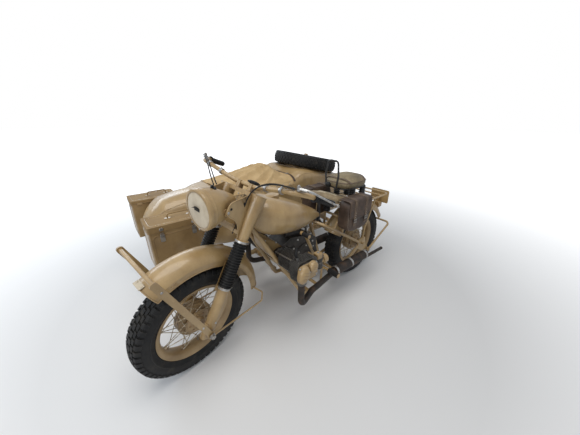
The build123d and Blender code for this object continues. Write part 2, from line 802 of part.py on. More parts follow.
# Rider's saddle: sprung leather over a pan, nose up
saddle_lean = radians(15)
saddle_plane = Plane(
    origin=place(222, 0, 742),
    x_dir=(cos(saddle_lean), 0, sin(saddle_lean)),
    z_dir=(-sin(saddle_lean), 0, cos(saddle_lean)),
)
with BuildPart() as saddle:
    with BuildSketch(saddle_plane):
        with BuildLine():
            nose = ThreePointArc((375, 34), (398, 0), (375, -34))
            right = ThreePointArc(nose @ 1, (200, -96), (60, -132))
            back = ThreePointArc(right @ 1, (0, 0), (60, 132))
            ThreePointArc(back @ 1, (200, 96), nose @ 0)
        make_face()
    extrude(amount=58)
    fillet(saddle.edges().group_by(SortBy.LENGTH)[-1], radius=12)
saddle.part.label = "saddle"
export_step(saddle.part, "parts/saddle.step")

with BuildPart() as saddle_springs:
    for hand in (1, -1):
        with BuildSketch(level(650, SADDLE_BRIDGE_X, hand * 78)):
            Circle(22)
        extrude(amount=104)
    bar(place(470, 0, 640), place(470, 0, 803), radius=14)
    for hand in (1, -1):
        bar(place(470, 0, 645), place(478, hand * (STAY_HALF_WIDTH - STAY - 0.8), 628), radius=7)
saddle_springs.part.label = "saddle_springs"
export_step(saddle_springs.part, "parts/saddle_springs.step")

# Luggage rack over the rear wheel: bent tube with cross bars and two struts to the axle plates
with BuildPart() as luggage_rack:
    bar(
        place(100, RACK_HALF_WIDTH, RACK_Z),
        place(-260, RACK_HALF_WIDTH, RACK_Z),
        place(-260, -RACK_HALF_WIDTH, RACK_Z),
        place(345, -RACK_HALF_WIDTH, RACK_Z),
        place(345, RACK_HALF_WIDTH, RACK_Z),
        place(99, RACK_HALF_WIDTH, RACK_Z),
        radius=7,
        bend=40,
    )
    for x in (190, 60, -60, -160):
        bar(place(x, -RACK_HALF_WIDTH, RACK_Z), place(x, RACK_HALF_WIDTH, RACK_Z), radius=6)
    for hand in (1, -1):
        bar(
            place(-60, hand * RACK_HALF_WIDTH, RACK_Z),
            place(-22, hand * STAY_HALF_WIDTH, 470),
            place(-15, hand * STAY_HALF_WIDTH, 371.8),
            radius=6.5,
            bend=30,
        )
luggage_rack.part.label = "luggage_rack"
export_step(luggage_rack.part, "parts/luggage_rack.step")

# Pillion seat: a padded top on a pan with four springs and a hoop to hold
with BuildPart() as pillion_seat:
    with BuildSketch(level(872, 182)):
        RectangleRounded(296, 250, 90)
    extrude(amount=88)
    fillet(pillion_seat.edges().group_by(Axis.Z)[-1], radius=26)
pillion_seat.part.label = "pillion_seat"
export_step(pillion_seat.part, "parts/pillion_seat.step")

with BuildPart() as pillion_frame:
    with BuildSketch(level(862, 182)):
        RectangleRounded(270, 226, 80)
    extrude(amount=9.7)
    for x in (60, 190):
        for hand in (1, -1):
            with BuildSketch(level(RACK_Z + 6, x, hand * 74)):
                Circle(19)
            extrude(amount=118)
    bar(
        place(290, -42, 864),
        place(352, -46, 864),
        place(350, -60, 965),
        place(344, -44, 1068),
        place(344, 44, 1068),
        place(350, 60, 965),
        place(352, 46, 864),
        place(290, 42, 864),
        radius=7,
        bend=26,
    )
pillion_frame.part.label = "pillion_frame"
export_step(pillion_frame.part, "parts/pillion_frame.step")

# Panniers: a soft leather bag strapped to each side of the rack
for hand, name in ((1, "left_pannier"), (-1, "right_pannier")):
    with BuildPart() as pannier:
        with BuildSketch(side(hand * (RACK_HALF_WIDTH + 7.4))):
            with Locations((300, 725)):
                RectangleRounded(260, 240, 40)
        extrude(amount=-hand * 100)
    save(pannier.part, name)

# Final drive: bevel housing beside the rear hub and the tube that carries the sidecar wheel
hub_face = SIDECAR_TRACK - HUB_HALF_WIDTH
with BuildPart() as final_drive:
    with BuildSketch(side(-STAY_HALF_WIDTH - PLATE_THICK / 2)):
        with Locations((0, TYRE_RADIUS)):
            Circle(30)
    extrude(amount=14)
    with BuildSketch(side(-STAY_HALF_WIDTH - PLATE_THICK / 2 - 12)):
        with Locations((0, TYRE_RADIUS)):
            Circle(72)
    extrude(amount=46)
    with BuildSketch(side(-150)):
        with Locations((0, TYRE_RADIUS)):
            Circle(CROSS_TUBE_RADIUS)
    extrude(amount=hub_face - 150 - 20)
    with BuildSketch(side(-hub_face + 32)):
        with Locations((0, TYRE_RADIUS)):
            Circle(44)
    extrude(amount=24)
    with BuildSketch(side(-hub_face + 10)):
        with Locations((0, TYRE_RADIUS)):
            Circle(AXLE_RADIUS)
    extrude(amount=2 * HUB_HALF_WIDTH + 30)
final_drive.part.label = "final_drive"
export_step(final_drive.part, "parts/final_drive.step")

# Footrests and the kick lever
with BuildPart() as footrests:
    for hand in (1, -1):
        bar(
            place(560, hand * (CRADLE_HALF_WIDTH - 10.5), CRADLE_Z + TUBE + 0.3),
            place(560, hand * (CRADLE_HALF_WIDTH - 10.5), 345),
            place(560, hand * 215, 352),
            radius=9,
            bend=20,
        )
        bar(place(560, hand * 215, 352), place(560, hand * 305, 352), radius=17)
footrests.part.label = "footrests"
export_step(footrests.part, "parts/footrests.step")

with BuildPart() as kick_lever:
    bar(
        place(650, CASE_HALF_WIDTH + 8, 470),
        place(650, 152, 470),
        place(745, 212, 600),
        place(792, 205, 706),
        radius=10,
        bend=24,
    )
    bar(place(792, 168, 706), place(792, 240, 706), radius=12)
kick_lever.part.label = "kick_lever"
export_step(kick_lever.part, "parts/kick_lever.step")

# Rear mudguard with the brackets that hold it to the stays and the rack
with BuildPart() as rear_mudguard:
    guard(across(0, 0, TYRE_RADIUS), REAR_GUARD_RADIUS, -28, -122)
    for hand in (1, -1):
        stay_face = STAY_HALF_WIDTH - STAY - 0.3
        bar(place(300, hand * 64, 521), place(300, hand * stay_face, 521), radius=8)
    with BuildSketch(level(TYRE_RADIUS + REAR_GUARD_RADIUS - 3, -60)):
        Rectangle(24, 40)
    extrude(amount=RACK_Z - 6 - TYRE_RADIUS - REAR_GUARD_RADIUS + 3)
rear_mudguard.part.label = "rear_mudguard"
export_step(rear_mudguard.part, "parts/rear_mudguard.step")

with BuildPart() as tail_lamp:
    with BuildSketch(cross(-314.5)):
        with Locations((0, 590)):
            RectangleRounded(70, 60, 16)
    extrude(amount=-62)
    with BuildSketch(cross(-362)):
        with Locations((0, 668)):
            RectangleRounded(180, 120, 12)
    extrude(amount=-3)
    with BuildSketch(cross(-340)):
        with Locations((0, 640)):
            Rectangle(20, 60)
    extrude(amount=-24)
tail_lamp.part.label = "tail_lamp"
export_step(tail_lamp.part, "parts/tail_lamp.step")

# Rear stand: a tube bent into a U on two eyes, clipped up behind the tyre
with BuildPart() as rear_stand:
    half = STAY_HALF_WIDTH + 24
    run = (-312 / 360, 180 / 360)
    bar(
        place(STAND_PIVOT_X + 13 * run[0], half, STAND_PIVOT_Z + 13 * run[1]),
        place(STAND_PIVOT_X + 360 * run[0], half, STAND_PIVOT_Z + 360 * run[1]),
        place(STAND_PIVOT_X + 360 * run[0], -half, STAND_PIVOT_Z + 360 * run[1]),
        place(STAND_PIVOT_X + 13 * run[0], -half, STAND_PIVOT_Z + 13 * run[1]),
        radius=9,
        bend=40,
    )
    for hand in (1, -1):
        with BuildSketch(side(hand * half)):
            with Locations((STAND_PIVOT_X, STAND_PIVOT_Z)):
                Circle(18)
                Circle(8.4, mode=Mode.SUBTRACT)
        extrude(amount=6, both=True)
rear_stand.part.label = "rear_stand"
export_step(rear_stand.part, "parts/rear_stand.step")

# Sidecar frame: a rail bent into a loop, with cross members, body posts and links to the motorcycle
with BuildPart() as sidecar_frame:
    rail_left = SIDECAR_Y + RAIL_HALF_WIDTH
    rail_right = SIDECAR_Y - RAIL_HALF_WIDTH
    bar(
        place(500, rail_left, RAIL_Z),
        place(RAIL_FRONT, rail_left, RAIL_Z),
        place(RAIL_FRONT, rail_right, RAIL_Z),
        place(RAIL_REAR, rail_right, RAIL_Z),
        place(RAIL_REAR, rail_left, RAIL_Z),
        place(501, rail_left, RAIL_Z),
        radius=RAIL_RADIUS,
        bend=90,
    )
    for x in (800, 330):
        bar(place(x, rail_left, RAIL_Z), place(x, rail_right, RAIL_Z), radius=16)
    for x in (800, 330, RAIL_REAR):
        for hand in (1, -1):
            with BuildSketch(level(RAIL_Z, x, SIDECAR_Y + hand * POST_OFFSET)):
                Rectangle(60, 50)
            extrude(amount=FLOOR_Z - 0.3 - RAIL_Z)
    for y in (rail_left, rail_right):
        with BuildSketch(side(y)):
            with Locations((0, TYRE_RADIUS - 12)):
                Rectangle(76, 86)
            with Locations((0, TYRE_RADIUS)):
                Circle(CROSS_TUBE_RADIUS + 0.3, mode=Mode.SUBTRACT)
        extrude(amount=22, both=True)
    with BuildSketch(level(RAIL_Z, RAIL_REAR - 40, SIDECAR_Y)):
        RectangleRounded(70, 44, 20)
        with Locations((-10, 0)):
            Circle(TIE_HOLE_RADIUS, mode=Mode.SUBTRACT)
    extrude(amount=TIE_THICK / 2, both=True)
sidecar_frame.part.label = "sidecar_frame"
export_step(sidecar_frame.part, "parts/sidecar_frame.step")

# Links from the sidecar's rail to the motorcycle's frame: two low and two rising
with BuildPart() as sidecar_links:
    for rail_end, frame_end, link_radius in (
        ((745, rail_left + 20.4, RAIL_Z - 3.3), (745, -175.3, CRADLE_Z + 7.4), 15),
        ((345, rail_left + 20.3, RAIL_Z - 3.4), (345, -146.7, CRADLE_Z + 3.6), 15),
        ((902.5, rail_left + 13.2, RAIL_Z + 8.3), (1012, -95.7, 658.4), 12),
        ((204.4, rail_left + 19, RAIL_Z + 13.6), (295.5, -115.9, 506.7), 12),
    ):
        bar(place(*rail_end), place(*frame_end), radius=link_radius)
sidecar_links.part.label = "sidecar_links"
export_step(sidecar_links.part, "parts/sidecar_links.step")

# Sidecar body: pressed steel tub with a bulb nose; station x, half width, bottom, top, corner
deck_lean = radians(TILT_DOWN)
deck_end_z = DECK_TOP_Z - (DECK_TOP_X - DECK_END_X) * tan(deck_lean)
body_stations = (
    (1498, NOSE_HALF - 110, 475, 610, 52),
    (1482, NOSE_HALF - 68, 425, 672, 92),
    (1450, NOSE_HALF - 36, 396, 724, 114),
    (1400, NOSE_HALF - 12, 380, 772, 130),
    (1350, NOSE_HALF, 374, 803, 138),
    (1165, NOSE_HALF, FLOOR_Z, 830, 138),
    (1060, BODY_HALF - 57, FLOOR_Z, 833, 128),
    (900, BODY_HALF - 10, FLOOR_Z, 836, 112),
    (300, BODY_HALF, FLOOR_Z, 862, 95),
    (DECK_TOP_X, BODY_HALF, FLOOR_Z, DECK_TOP_Z, 84),
    (DECK_END_X, BODY_HALF - 36, FLOOR_Z, deck_end_z, 56),
    (-560, BODY_HALF - 72, 402, 690, 80),
    (-600, BODY_HALF - 108, 440, 650, 74),
)


def body_form(inset):
    """The tub's outside, moved in by the inset."""
    with BuildPart() as form:
        for x, half, low, high, corner in body_stations:
            end = inset if x == body_stations[-1][0] else -inset if x == body_stations[0][0] else 0
            with BuildSketch(cross(x + end)):
                with Locations((SIDECAR_Y, (low + high) / 2)):
                    RectangleRounded(2 * (half - inset), high - low - 2 * inset, corner - inset)
        loft(ruled=True)
    return form.part


body_outside = body_form(0)
body_inside = body_form(BODY_SKIN)
lid_end_x = BOOT_REAR - LID_LAP
deck_origin = place(lid_end_x, SIDECAR_Y, DECK_TOP_Z - (DECK_TOP_X - lid_end_x) * tan(deck_lean))
DECK = Plane(
    origin=deck_origin,
    x_dir=(cos(deck_lean), 0, sin(deck_lean)),
    z_dir=(-sin(deck_lean), 0, cos(deck_lean)),
)
LID_THICK = 4
KNUCKLE = 7
hinge_line = DECK.from_local_coords((-KNUCKLE - 1, 0, KNUCKLE + 0.8))
hinge_plane = Plane(hinge_line, x_dir=DECK.x_dir, z_dir=(0, 1, 0))
with BuildPart() as body_shell:
    add(body_outside)
    add(body_inside, mode=Mode.SUBTRACT)
    with BuildSketch(level(700, (COCKPIT_FRONT + COCKPIT_REAR) / 2, SIDECAR_Y)):
        RectangleRounded(COCKPIT_FRONT - COCKPIT_REAR, 2 * COCKPIT_HALF_WIDTH, COCKPIT_CORNER)
    extrude(amount=300, mode=Mode.SUBTRACT)
    with BuildSketch(level(690, (BOOT_FRONT + BOOT_REAR) / 2, SIDECAR_Y)):
        RectangleRounded(BOOT_FRONT - BOOT_REAR, 2 * BOOT_HALF_WIDTH, BOOT_CORNER)
    extrude(amount=300, mode=Mode.SUBTRACT)


def panel(front, rear, right, left, low, high):
    """The part of the shell between two stations, two seams and two heights."""
    with BuildPart() as piece:
        add(body_shell.part)
        with BuildSketch(level(low, (front + rear) / 2, SIDECAR_Y + (left + right) / 2)):
            Rectangle(front - rear, left - right)
        extrude(amount=high - low, mode=Mode.INTERSECT)
    return piece.part


# The tub is welded from six pressings that meet at its seams: panel, front, rear, right, left, low, high
nose_seam = COCKPIT_FRONT - COCKPIT_CORNER
tail_seam = BOOT_REAR + BOOT_CORNER
BEYOND = 1700
for name, front, rear, right, left, low, high in (
    ("sidecar_nose", BEYOND, nose_seam, -BEYOND, BEYOND, 0, BEYOND),
    ("sidecar_left_side", nose_seam, tail_seam, PANEL_SEAM, BEYOND, 0, BEYOND),
    ("sidecar_right_side", nose_seam, tail_seam, -BEYOND, -PANEL_SEAM, 0, BEYOND),
    ("sidecar_floor", nose_seam, tail_seam, -PANEL_SEAM, PANEL_SEAM, 0, FLOOR_Z + 60),
    ("sidecar_deck", nose_seam, tail_seam, -PANEL_SEAM, PANEL_SEAM, FLOOR_Z + 60, BEYOND),
):
    save(panel(front, rear, right, left, low, high), name)

with BuildPart() as sidecar_tail:
    add(panel(tail_seam, -BEYOND, -BEYOND, BEYOND, 0, BEYOND))
    for hand in (1, -1):
        with BuildSketch(hinge_plane.offset(hand * 60 - 25)):
            Circle(KNUCKLE)
            with Locations((-8, 7)):
                Rectangle(18, 12)
        extrude(amount=50)
sidecar_tail.part.label = "sidecar_tail"
export_step(sidecar_tail.part, "parts/sidecar_tail.step")

# Boot lid: a flat pressed lid on the rear deck, hinged at its rear edge, with the spare wheel's seat
lid_length = (BOOT_FRONT - BOOT_REAR + 2 * LID_LAP) / cos(deck_lean)
lid_centre = lid_length / 2
spare_seat = DECK.to_local_coords(place(*spare_centre))
with BuildPart() as boot_lid:
    with BuildSketch(DECK.offset(0.5)):
        with Locations((lid_centre, 0)):
            RectangleRounded(lid_length, 2 * (BOOT_HALF_WIDTH + LID_LAP), BOOT_CORNER)
    extrude(amount=LID_THICK)
    with BuildSketch(hinge_plane.offset(-34.3)):
        Circle(KNUCKLE)
        with Locations((8, 3)):
            Rectangle(17, 6)
    extrude(amount=68.6)
    with BuildSketch(DECK.offset(2)):
        with Locations((spare_seat.X, spare_seat.Y)):
            Circle(46)
    extrude(amount=spare_seat.Z - HUB_HALF_WIDTH - 2.3)
    with BuildSketch(DECK.offset(2)):
        with Locations((spare_seat.X, spare_seat.Y)):
            Circle(AXLE_RADIUS)
    extrude(amount=spare_seat.Z + HUB_HALF_WIDTH + 12)
    with BuildSketch(DECK.offset(spare_seat.Z + HUB_HALF_WIDTH + 0.3)):
        with Locations((spare_seat.X, spare_seat.Y)):
            RegularPolygon(20, 6)
    extrude(amount=14)
boot_lid.part.label = "boot_lid"
export_step(boot_lid.part, "parts/boot_lid.step")

# Sidecar seat: cushion and squab on a box, inside the tub
with BuildPart() as sidecar_seat:
    with BuildSketch(side(SIDECAR_Y)):
        with BuildLine():
            Polyline(
                (345, FLOOR_Z + BODY_SKIN + 0.3),
                (790, FLOOR_Z + BODY_SKIN + 0.3),
                (790, 515),
                (760, 545),
                (470, 530),
                (440, 560),
                (395, 812),
                (345, 812),
                close=True,
            )
        make_face()
    extrude(amount=COCKPIT_HALF_WIDTH - 8, both=True)
sidecar_seat.part.label = "sidecar_seat"
export_step(sidecar_seat.part, "parts/sidecar_seat.step")

# Canvas cover laced over the cockpit: station x, half width at the hem, ridge height
with BuildPart() as canvas_cover:
    for x, half, ridge in (
        (318, BODY_HALF + 2, 872),
        (440, BODY_HALF + 2, 950),
        (560, BODY_HALF + 1, 928),
        (800, BODY_HALF - 2, 870),
        (975, BODY_HALF - 26, 845),
    ):
        hem = 792
        shoulder = (hem + 22 + ridge) / 2
        with BuildSketch(cross(x)):
            with BuildLine():
                Polyline(
                    (SIDECAR_Y - half, hem),
                    (SIDECAR_Y - half, hem + 16),
                    (SIDECAR_Y - 0.72 * half, max(shoulder, 843)),
                    (SIDECAR_Y - 0.3 * half, ridge),
                    (SIDECAR_Y + 0.3 * half, ridge),
                    (SIDECAR_Y + 0.72 * half, max(shoulder, 843)),
                    (SIDECAR_Y + half, hem + 16),
                    (SIDECAR_Y + half, hem),
                    close=True,
                )
            make_face()
    loft(ruled=True)
    add(body_form(-SOFT_GAP), mode=Mode.SUBTRACT)
canvas_cover.part.label = "canvas_cover"
export_step(canvas_cover.part, "parts/canvas_cover.step")

# Sidecar mudguard with its stays from the rail
with BuildPart() as sidecar_mudguard:
    guard(across(0, -SIDECAR_TRACK, TYRE_RADIUS), REAR_GUARD_RADIUS, -22, -136)
    for rail_x, guard_x in ((280, 284), (-236, -284)):
        bar(
            place(rail_x, rail_right, RAIL_Z + RAIL_RADIUS + 1.5),
            place(guard_x, GUARD_HALF_WIDTH - SIDECAR_TRACK, 482),
            radius=8,
        )
sidecar_mudguard.part.label = "sidecar_mudguard"
export_step(sidecar_mudguard.part, "parts/sidecar_mudguard.step")

# Nose boxes: a steel box with an overlapping lid on each side of the nose, on a bolted bracket
axis_z = BOX_TOP - BOX_SKIN - LID_GAP - 17
for hand, name in ((1, "near_box"), (-1, "far_box")):
    middle = place(BOX_CENTRE_X, SIDECAR_Y + hand * BOX_OFFSET, 0)
    pin = middle + Vector(0, -hand * (BOX_WIDTH / 2 + 4.5), axis_z)
    nose_side = Plane(origin=pin, x_dir=(0, hand, 0), z_dir=(1, 0, 0))
    with BuildPart() as box:
        with BuildSketch(Plane(middle).offset(BOX_FLOOR)):
            RectangleRounded(BOX_LENGTH, BOX_WIDTH, 8)
        extrude(amount=BOX_TOP - BOX_SKIN - LID_GAP - BOX_FLOOR)
        with BuildSketch(Plane(middle).offset(BOX_FLOOR + BOX_SKIN)):
            RectangleRounded(BOX_LENGTH - 2 * BOX_SKIN, BOX_WIDTH - 2 * BOX_SKIN, 6)
        extrude(amount=BOX_TOP, mode=Mode.SUBTRACT)
        with BuildSketch(nose_side.offset(-130), nose_side.offset(90)):
            Circle(3.5)
            with Locations((0, -6 * hand)):
                Rectangle(9, 12)
        extrude(amount=40)
    save(box.part, name)
    lid_plan = Plane(middle).offset(axis_z - 17)
    grow = 2 * (BOX_SKIN + LID_GAP)
    with BuildPart() as box_lid:
        with BuildSketch(lid_plan):
            RectangleRounded(BOX_LENGTH + grow, BOX_WIDTH + grow, 10)
        extrude(amount=LID_DEPTH)
        with BuildSketch(lid_plan):
            RectangleRounded(BOX_LENGTH + 2 * LID_GAP, BOX_WIDTH + 2 * LID_GAP, 8)
        extrude(amount=LID_DEPTH - BOX_SKIN, mode=Mode.SUBTRACT)
        with BuildSketch(lid_plan):
            with Locations((0, -hand * (BOX_WIDTH / 2 + 6))):
                Rectangle(BOX_LENGTH + 20, 30)
        extrude(amount=21, mode=Mode.SUBTRACT)
        with BuildSketch(nose_side.offset(-88)):
            Circle(3.5)
            with Locations((1.5, 4 * hand)):
                Rectangle(3, 8)
        extrude(amount=176)
        bar(
            middle + Vector(-105, 0, BOX_TOP - 1),
            middle + Vector(-105, 0, BOX_TOP + 30),
            middle + Vector(30, 0, BOX_TOP + 30),
            middle + Vector(30, 0, BOX_TOP - 1),
            radius=4,
            bend=14,
        )
    save(box_lid.part, f"{name}_lid")

with BuildPart() as box_brackets:
    for hand in (1, -1):
        with BuildSketch(cross(1215)):
            near = SIDECAR_Y + hand * NOSE_HALF
            with BuildLine():
                Polyline(
                    (near, BOX_FLOOR - 6.3),
                    (near + hand * 190, BOX_FLOOR - 6.3),
                    (near + hand * 190, BOX_FLOOR - 0.3),
                    (near + hand * 6, BOX_FLOOR - 0.3),
                    (near + hand * 6, 680),
                    (near, 680),
                    close=True,
                )
            make_face()
        extrude(amount=130)
box_brackets.part.label = "box_brackets"
export_step(box_brackets.part, "parts/box_brackets.step")
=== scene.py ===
import json
from math import asin, atan2, copysign, cos, degrees, exp, hypot, pi, radians, sin, sqrt, tan, tau

import bmesh
import bpy
from mathutils import Matrix, Vector, noise


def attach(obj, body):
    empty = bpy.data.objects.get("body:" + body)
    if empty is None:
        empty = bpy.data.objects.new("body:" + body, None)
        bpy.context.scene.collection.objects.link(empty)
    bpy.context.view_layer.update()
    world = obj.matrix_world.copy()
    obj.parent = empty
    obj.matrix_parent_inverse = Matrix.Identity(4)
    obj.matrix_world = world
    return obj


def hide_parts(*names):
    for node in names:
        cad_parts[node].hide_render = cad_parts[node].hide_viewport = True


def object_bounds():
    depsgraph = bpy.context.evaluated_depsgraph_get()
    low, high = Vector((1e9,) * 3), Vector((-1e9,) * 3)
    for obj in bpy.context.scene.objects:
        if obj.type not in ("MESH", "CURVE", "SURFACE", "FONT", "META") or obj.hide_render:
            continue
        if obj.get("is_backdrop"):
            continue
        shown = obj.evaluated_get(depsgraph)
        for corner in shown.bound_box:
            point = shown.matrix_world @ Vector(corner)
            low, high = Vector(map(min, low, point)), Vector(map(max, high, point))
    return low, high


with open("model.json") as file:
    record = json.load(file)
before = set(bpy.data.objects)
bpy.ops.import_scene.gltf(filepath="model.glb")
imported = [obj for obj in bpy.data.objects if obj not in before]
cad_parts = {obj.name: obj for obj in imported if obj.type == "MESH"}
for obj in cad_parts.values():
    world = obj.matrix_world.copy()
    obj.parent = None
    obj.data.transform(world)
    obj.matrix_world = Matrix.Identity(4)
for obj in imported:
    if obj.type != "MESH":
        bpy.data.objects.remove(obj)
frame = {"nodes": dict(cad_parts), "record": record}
nodes = frame["nodes"]
cad_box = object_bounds()
HANDS = (1, -1)
LEFT_RIGHT = ((1, "left"), (-1, "right"))
UP = (0, 0, 1)
SIDECAR = -0.75
AXLE_HIGH = 0.325
FRONT_AXLE = 1.444
TRACK = 1.18

# The view of the photograph: a wide lens at chest height, ahead of the left front wheel. The camera's
# place and axes were solved from the wheels and the floor.
camera_data = bpy.data.cameras.new("view")
camera_data.lens = 14.694
camera_data.sensor_width = 36.0
camera = bpy.data.objects.new("view", camera_data)
view_right = Vector((-0.7713032, 0.63643201, 0.00675825))
view_up = Vector((-0.24877373, -0.31123293, 0.91719447))
view_back = Vector((0.58583531, 0.70575375, 0.39838252))
view_axes = Matrix((view_right, view_up, view_back)).transposed()
camera.matrix_world = Matrix.Translation((1.08349, 1.50798, 1.36454)) @ view_axes.to_4x4()
bpy.context.collection.objects.link(camera)
bpy.context.scene.camera = camera
bpy.context.scene.view_settings.view_transform = "Standard"


class Nodes:
    """A node tree, and the shader at its end that it feeds."""

    def __init__(self, tree, end):
        self.tree, self.end = tree, tree.nodes[end]

    def put(self, socket, value):
        if isinstance(value, bpy.types.NodeSocket):
            self.tree.links.new(value, socket)
        else:
            socket.default_value = value

    def make(self, kind, inputs, out=0, **settings):
        made = self.tree.nodes.new("ShaderNode" + kind)
        for key, value in settings.items():
            setattr(made, key, value)
        for key, value in inputs.items():
            self.put(made.inputs[key], value)
        return made.outputs[out]

    def feed(self, **inputs):
        for key, value in inputs.items():
            self.put(self.end.inputs[key.replace("_", " ")], value)

    def sum(self, how, one, other):
        return self.make("Math", {0: one, 1: other}, operation=how)

    def spread(self, value, low=0.0, high=1.0, first=0.0, last=1.0):
        ends = {"From Min": first, "From Max": last, "To Min": low, "To Max": high}
        return self.make("MapRange", {"Value": value, **ends})

    def blend(self, share, one, other, how="MIX"):
        return self.make("MixRGB", {"Fac": share, "Color1": one, "Color2": other}, blend_type=how)

    def lens_rays(self):
        """1 for rays from the lens, also through glass; and all outputs of the light path."""
        path = self.tree.nodes.new("ShaderNodeLightPath").outputs
        return self.sum("MAXIMUM", path["Is Camera Ray"], path["Is Transmission Ray"]), path


class Coat(Nodes):
    """A material on the Principled shader, textured in the piece's own metres."""

    def __init__(self, name):
        self.mat = bpy.data.materials.new(name)
        self.mat.use_nodes = True
        super().__init__(self.mat.node_tree, "Principled BSDF")
        self.where = self.make("TexCoord", {}, "Object")

    def noise(self, scale, detail=2.0, rough=0.5, where=None, **more):
        sizes = {"Vector": where or self.where, "Scale": scale, "Detail": detail, "Roughness": rough, **more}
        return self.make("TexNoise", sizes, "Fac")

    def ramp(self, factor, *stops):
        made = self.tree.nodes.new("ShaderNodeValToRGB")
        self.put(made.inputs[0], factor)
        elements = made.color_ramp.elements
        while len(elements) < len(stops):
            elements.new(0.5)
        for element, (spot, colour) in zip(elements, stops):
            element.position, element.color = spot, (*colour, 1.0)
        return made.outputs["Color"]

    def edges(self, radius):
        """How much a place turns away from its face: 1 along an edge, where paint is rubbed."""
        rounded_off = self.make("Bevel", {"Radius": radius}, samples=4)
        flat = self.make("NewGeometry", {}, "Normal")
        alike = self.make("VectorMath", {0: rounded_off, 1: flat}, "Value", operation="DOT_PRODUCT")
        return self.spread(self.sum("SUBTRACT", 1.0, alike), first=0.02, last=0.16)

    # Painted shade: a colour ramp on ambient occlusion, darker in the hollows.
    def hollows(self, distance, *stops):
        return self.ramp(self.make("AmbientOcclusion", {"Distance": distance}, "AO", samples=4), *stops)

    def skin(self, height, strength, distance):
        bump = {"Height": height, "Strength": strength, "Distance": distance}
        self.feed(Normal=self.make("Bump", bump))


# The studio: a pale floor that stays evenly white to the lens, with the machine's shadow on it, a white
# surround, and three soft lamps: a wide one on the sidecar's side, one above and one ahead on the left.
WHITE = (1, 1, 1, 1)
FLOOR_REACH = 30.0
world = bpy.data.worlds.new("surround")
bpy.context.scene.world = world
world.use_nodes = True
sky = Nodes(world.node_tree, "Background")
seen, path = sky.lens_rays()
bright = sky.sum("MAXIMUM", seen, sky.sum("MULTIPLY", path["Is Glossy Ray"], 0.55))
sky.feed(Color=sky.blend(seen, (0.86, 0.92, 1.0, 1), WHITE), Strength=sky.spread(bright, 0.33, 1.0))

floor_mesh = bpy.data.meshes.new("floor")
corners = [(x * FLOOR_REACH, y * FLOOR_REACH, 0) for x, y in ((-1, -1), (1, -1), (1, 1), (-1, 1))]
floor_mesh.from_pydata(corners, [], [(0, 1, 2, 3)])
floor = bpy.data.objects.new("floor", floor_mesh)
bpy.context.collection.objects.link(floor)
white = Coat("floor_white")
away = white.make("VectorMath", {0: white.where}, "Value", operation="LENGTH")
glow = white.sum("MULTIPLY", white.lens_rays()[0], white.spread(away, first=1.6, last=5.0))
white.feed(Base_Color=(0.8, 0.8, 0.8, 1), Roughness=0.7, Emission_Color=WHITE, Emission_Strength=glow)
floor_mesh.materials.append(white.mat)
floor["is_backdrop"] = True

for name, spot, target, size, power, colour in (
    ("wide_lamp", (1.6, -4.6, 3.4), (0, 0, 0.5), (6.0, 1.8), 118, (0.84, 0.92, 1.0)),
    ("high_lamp", (0.9, 1.2, 4.6), (0.1, 0.1, 0.4), (3.6, 2.6), 105, (1.0, 0.97, 0.92)),
    ("left_lamp", (4.6, 2.2, 2.4), (0.4, 0.3, 0.5), (2.6, 1.6), 52, (0.95, 0.97, 1.0)),
):
    light = bpy.data.lights.new(name, "AREA")
    light.shape = "RECTANGLE"
    light.size, light.size_y = size
    light.energy, light.color = power, colour
    made = bpy.data.objects.new(name, light)
    made.location = spot
    made.rotation_euler = (Vector(target) - Vector(spot)).to_track_quat("-Z", "Y").to_euler()
    bpy.context.collection.objects.link(made)


# Finishes. Enamel is sprayed and brushed over pressed steel: cloudy with handling, dust-streaked, painted shade
# in the hollows, rubbed to its primer along the edges and freckled with rust. Colours: base, light, dark, bare.
def enamel(name, base, light, dark, bare, rough=0.32, coat=0.5, cloud_size=7.0):
    paint = Coat(name)
    cloud = paint.noise(cloud_size, 7.0, 0.62)
    fine = paint.noise(140.0, 5.0, 0.7)
    streaks = paint.make("Mapping", {"Vector": paint.where, "Scale": (26.0, 26.0, 5.0)})
    runs = paint.noise(1.0, 5.0, where=streaks)
    dust = paint.ramp(runs, (0.45, (1, 1, 1)), (0.75, (0.8, 0.76, 0.7)))
    clouded = paint.ramp(cloud, (0.3, dark), (0.5, base), (0.72, light))
    streaked = paint.blend(0.55, clouded, dust, "MULTIPLY")
    freckles = paint.ramp(fine, (0.285, (1, 1, 1)), (0.33, (0, 0, 0)))
    rusty = paint.blend(freckles, streaked, (0.11, 0.055, 0.03, 1))
    rubbed = paint.sum("MULTIPLY", paint.edges(0.0035), paint.spread(fine, first=0.42, last=0.6))
    worn = paint.blend(paint.sum("MULTIPLY", rubbed, 0.8), rusty, (*bare, 1))
    # Painted shade: ambient occlusion darkens the enamel in its hollows.
    painted_hollow_shade = paint.hollows(0.06, (0.25, (0.4, 0.31, 0.21)), (0.85, (1, 1, 1)))
    paint.skin(paint.sum("ADD", fine, runs), 0.2, 0.0008)
    paint.feed(
        Base_Color=paint.blend(0.8, worn, painted_hollow_shade, "MULTIPLY"),
        Roughness=paint.spread(cloud, rough - 0.1, rough + 0.2),
        Coat_Weight=coat,
        Coat_Roughness=0.09,
    )
    return paint.mat


def stained(name, size, detail, blotch, *stops, **fixed):
    """A material coloured by a cloud of noise; its cloud and colour are given back."""
    made = Coat(name)
    cloud = made.noise(size, detail, blotch)
    made.feed(**fixed)
    return made, cloud, made.ramp(cloud, *stops)


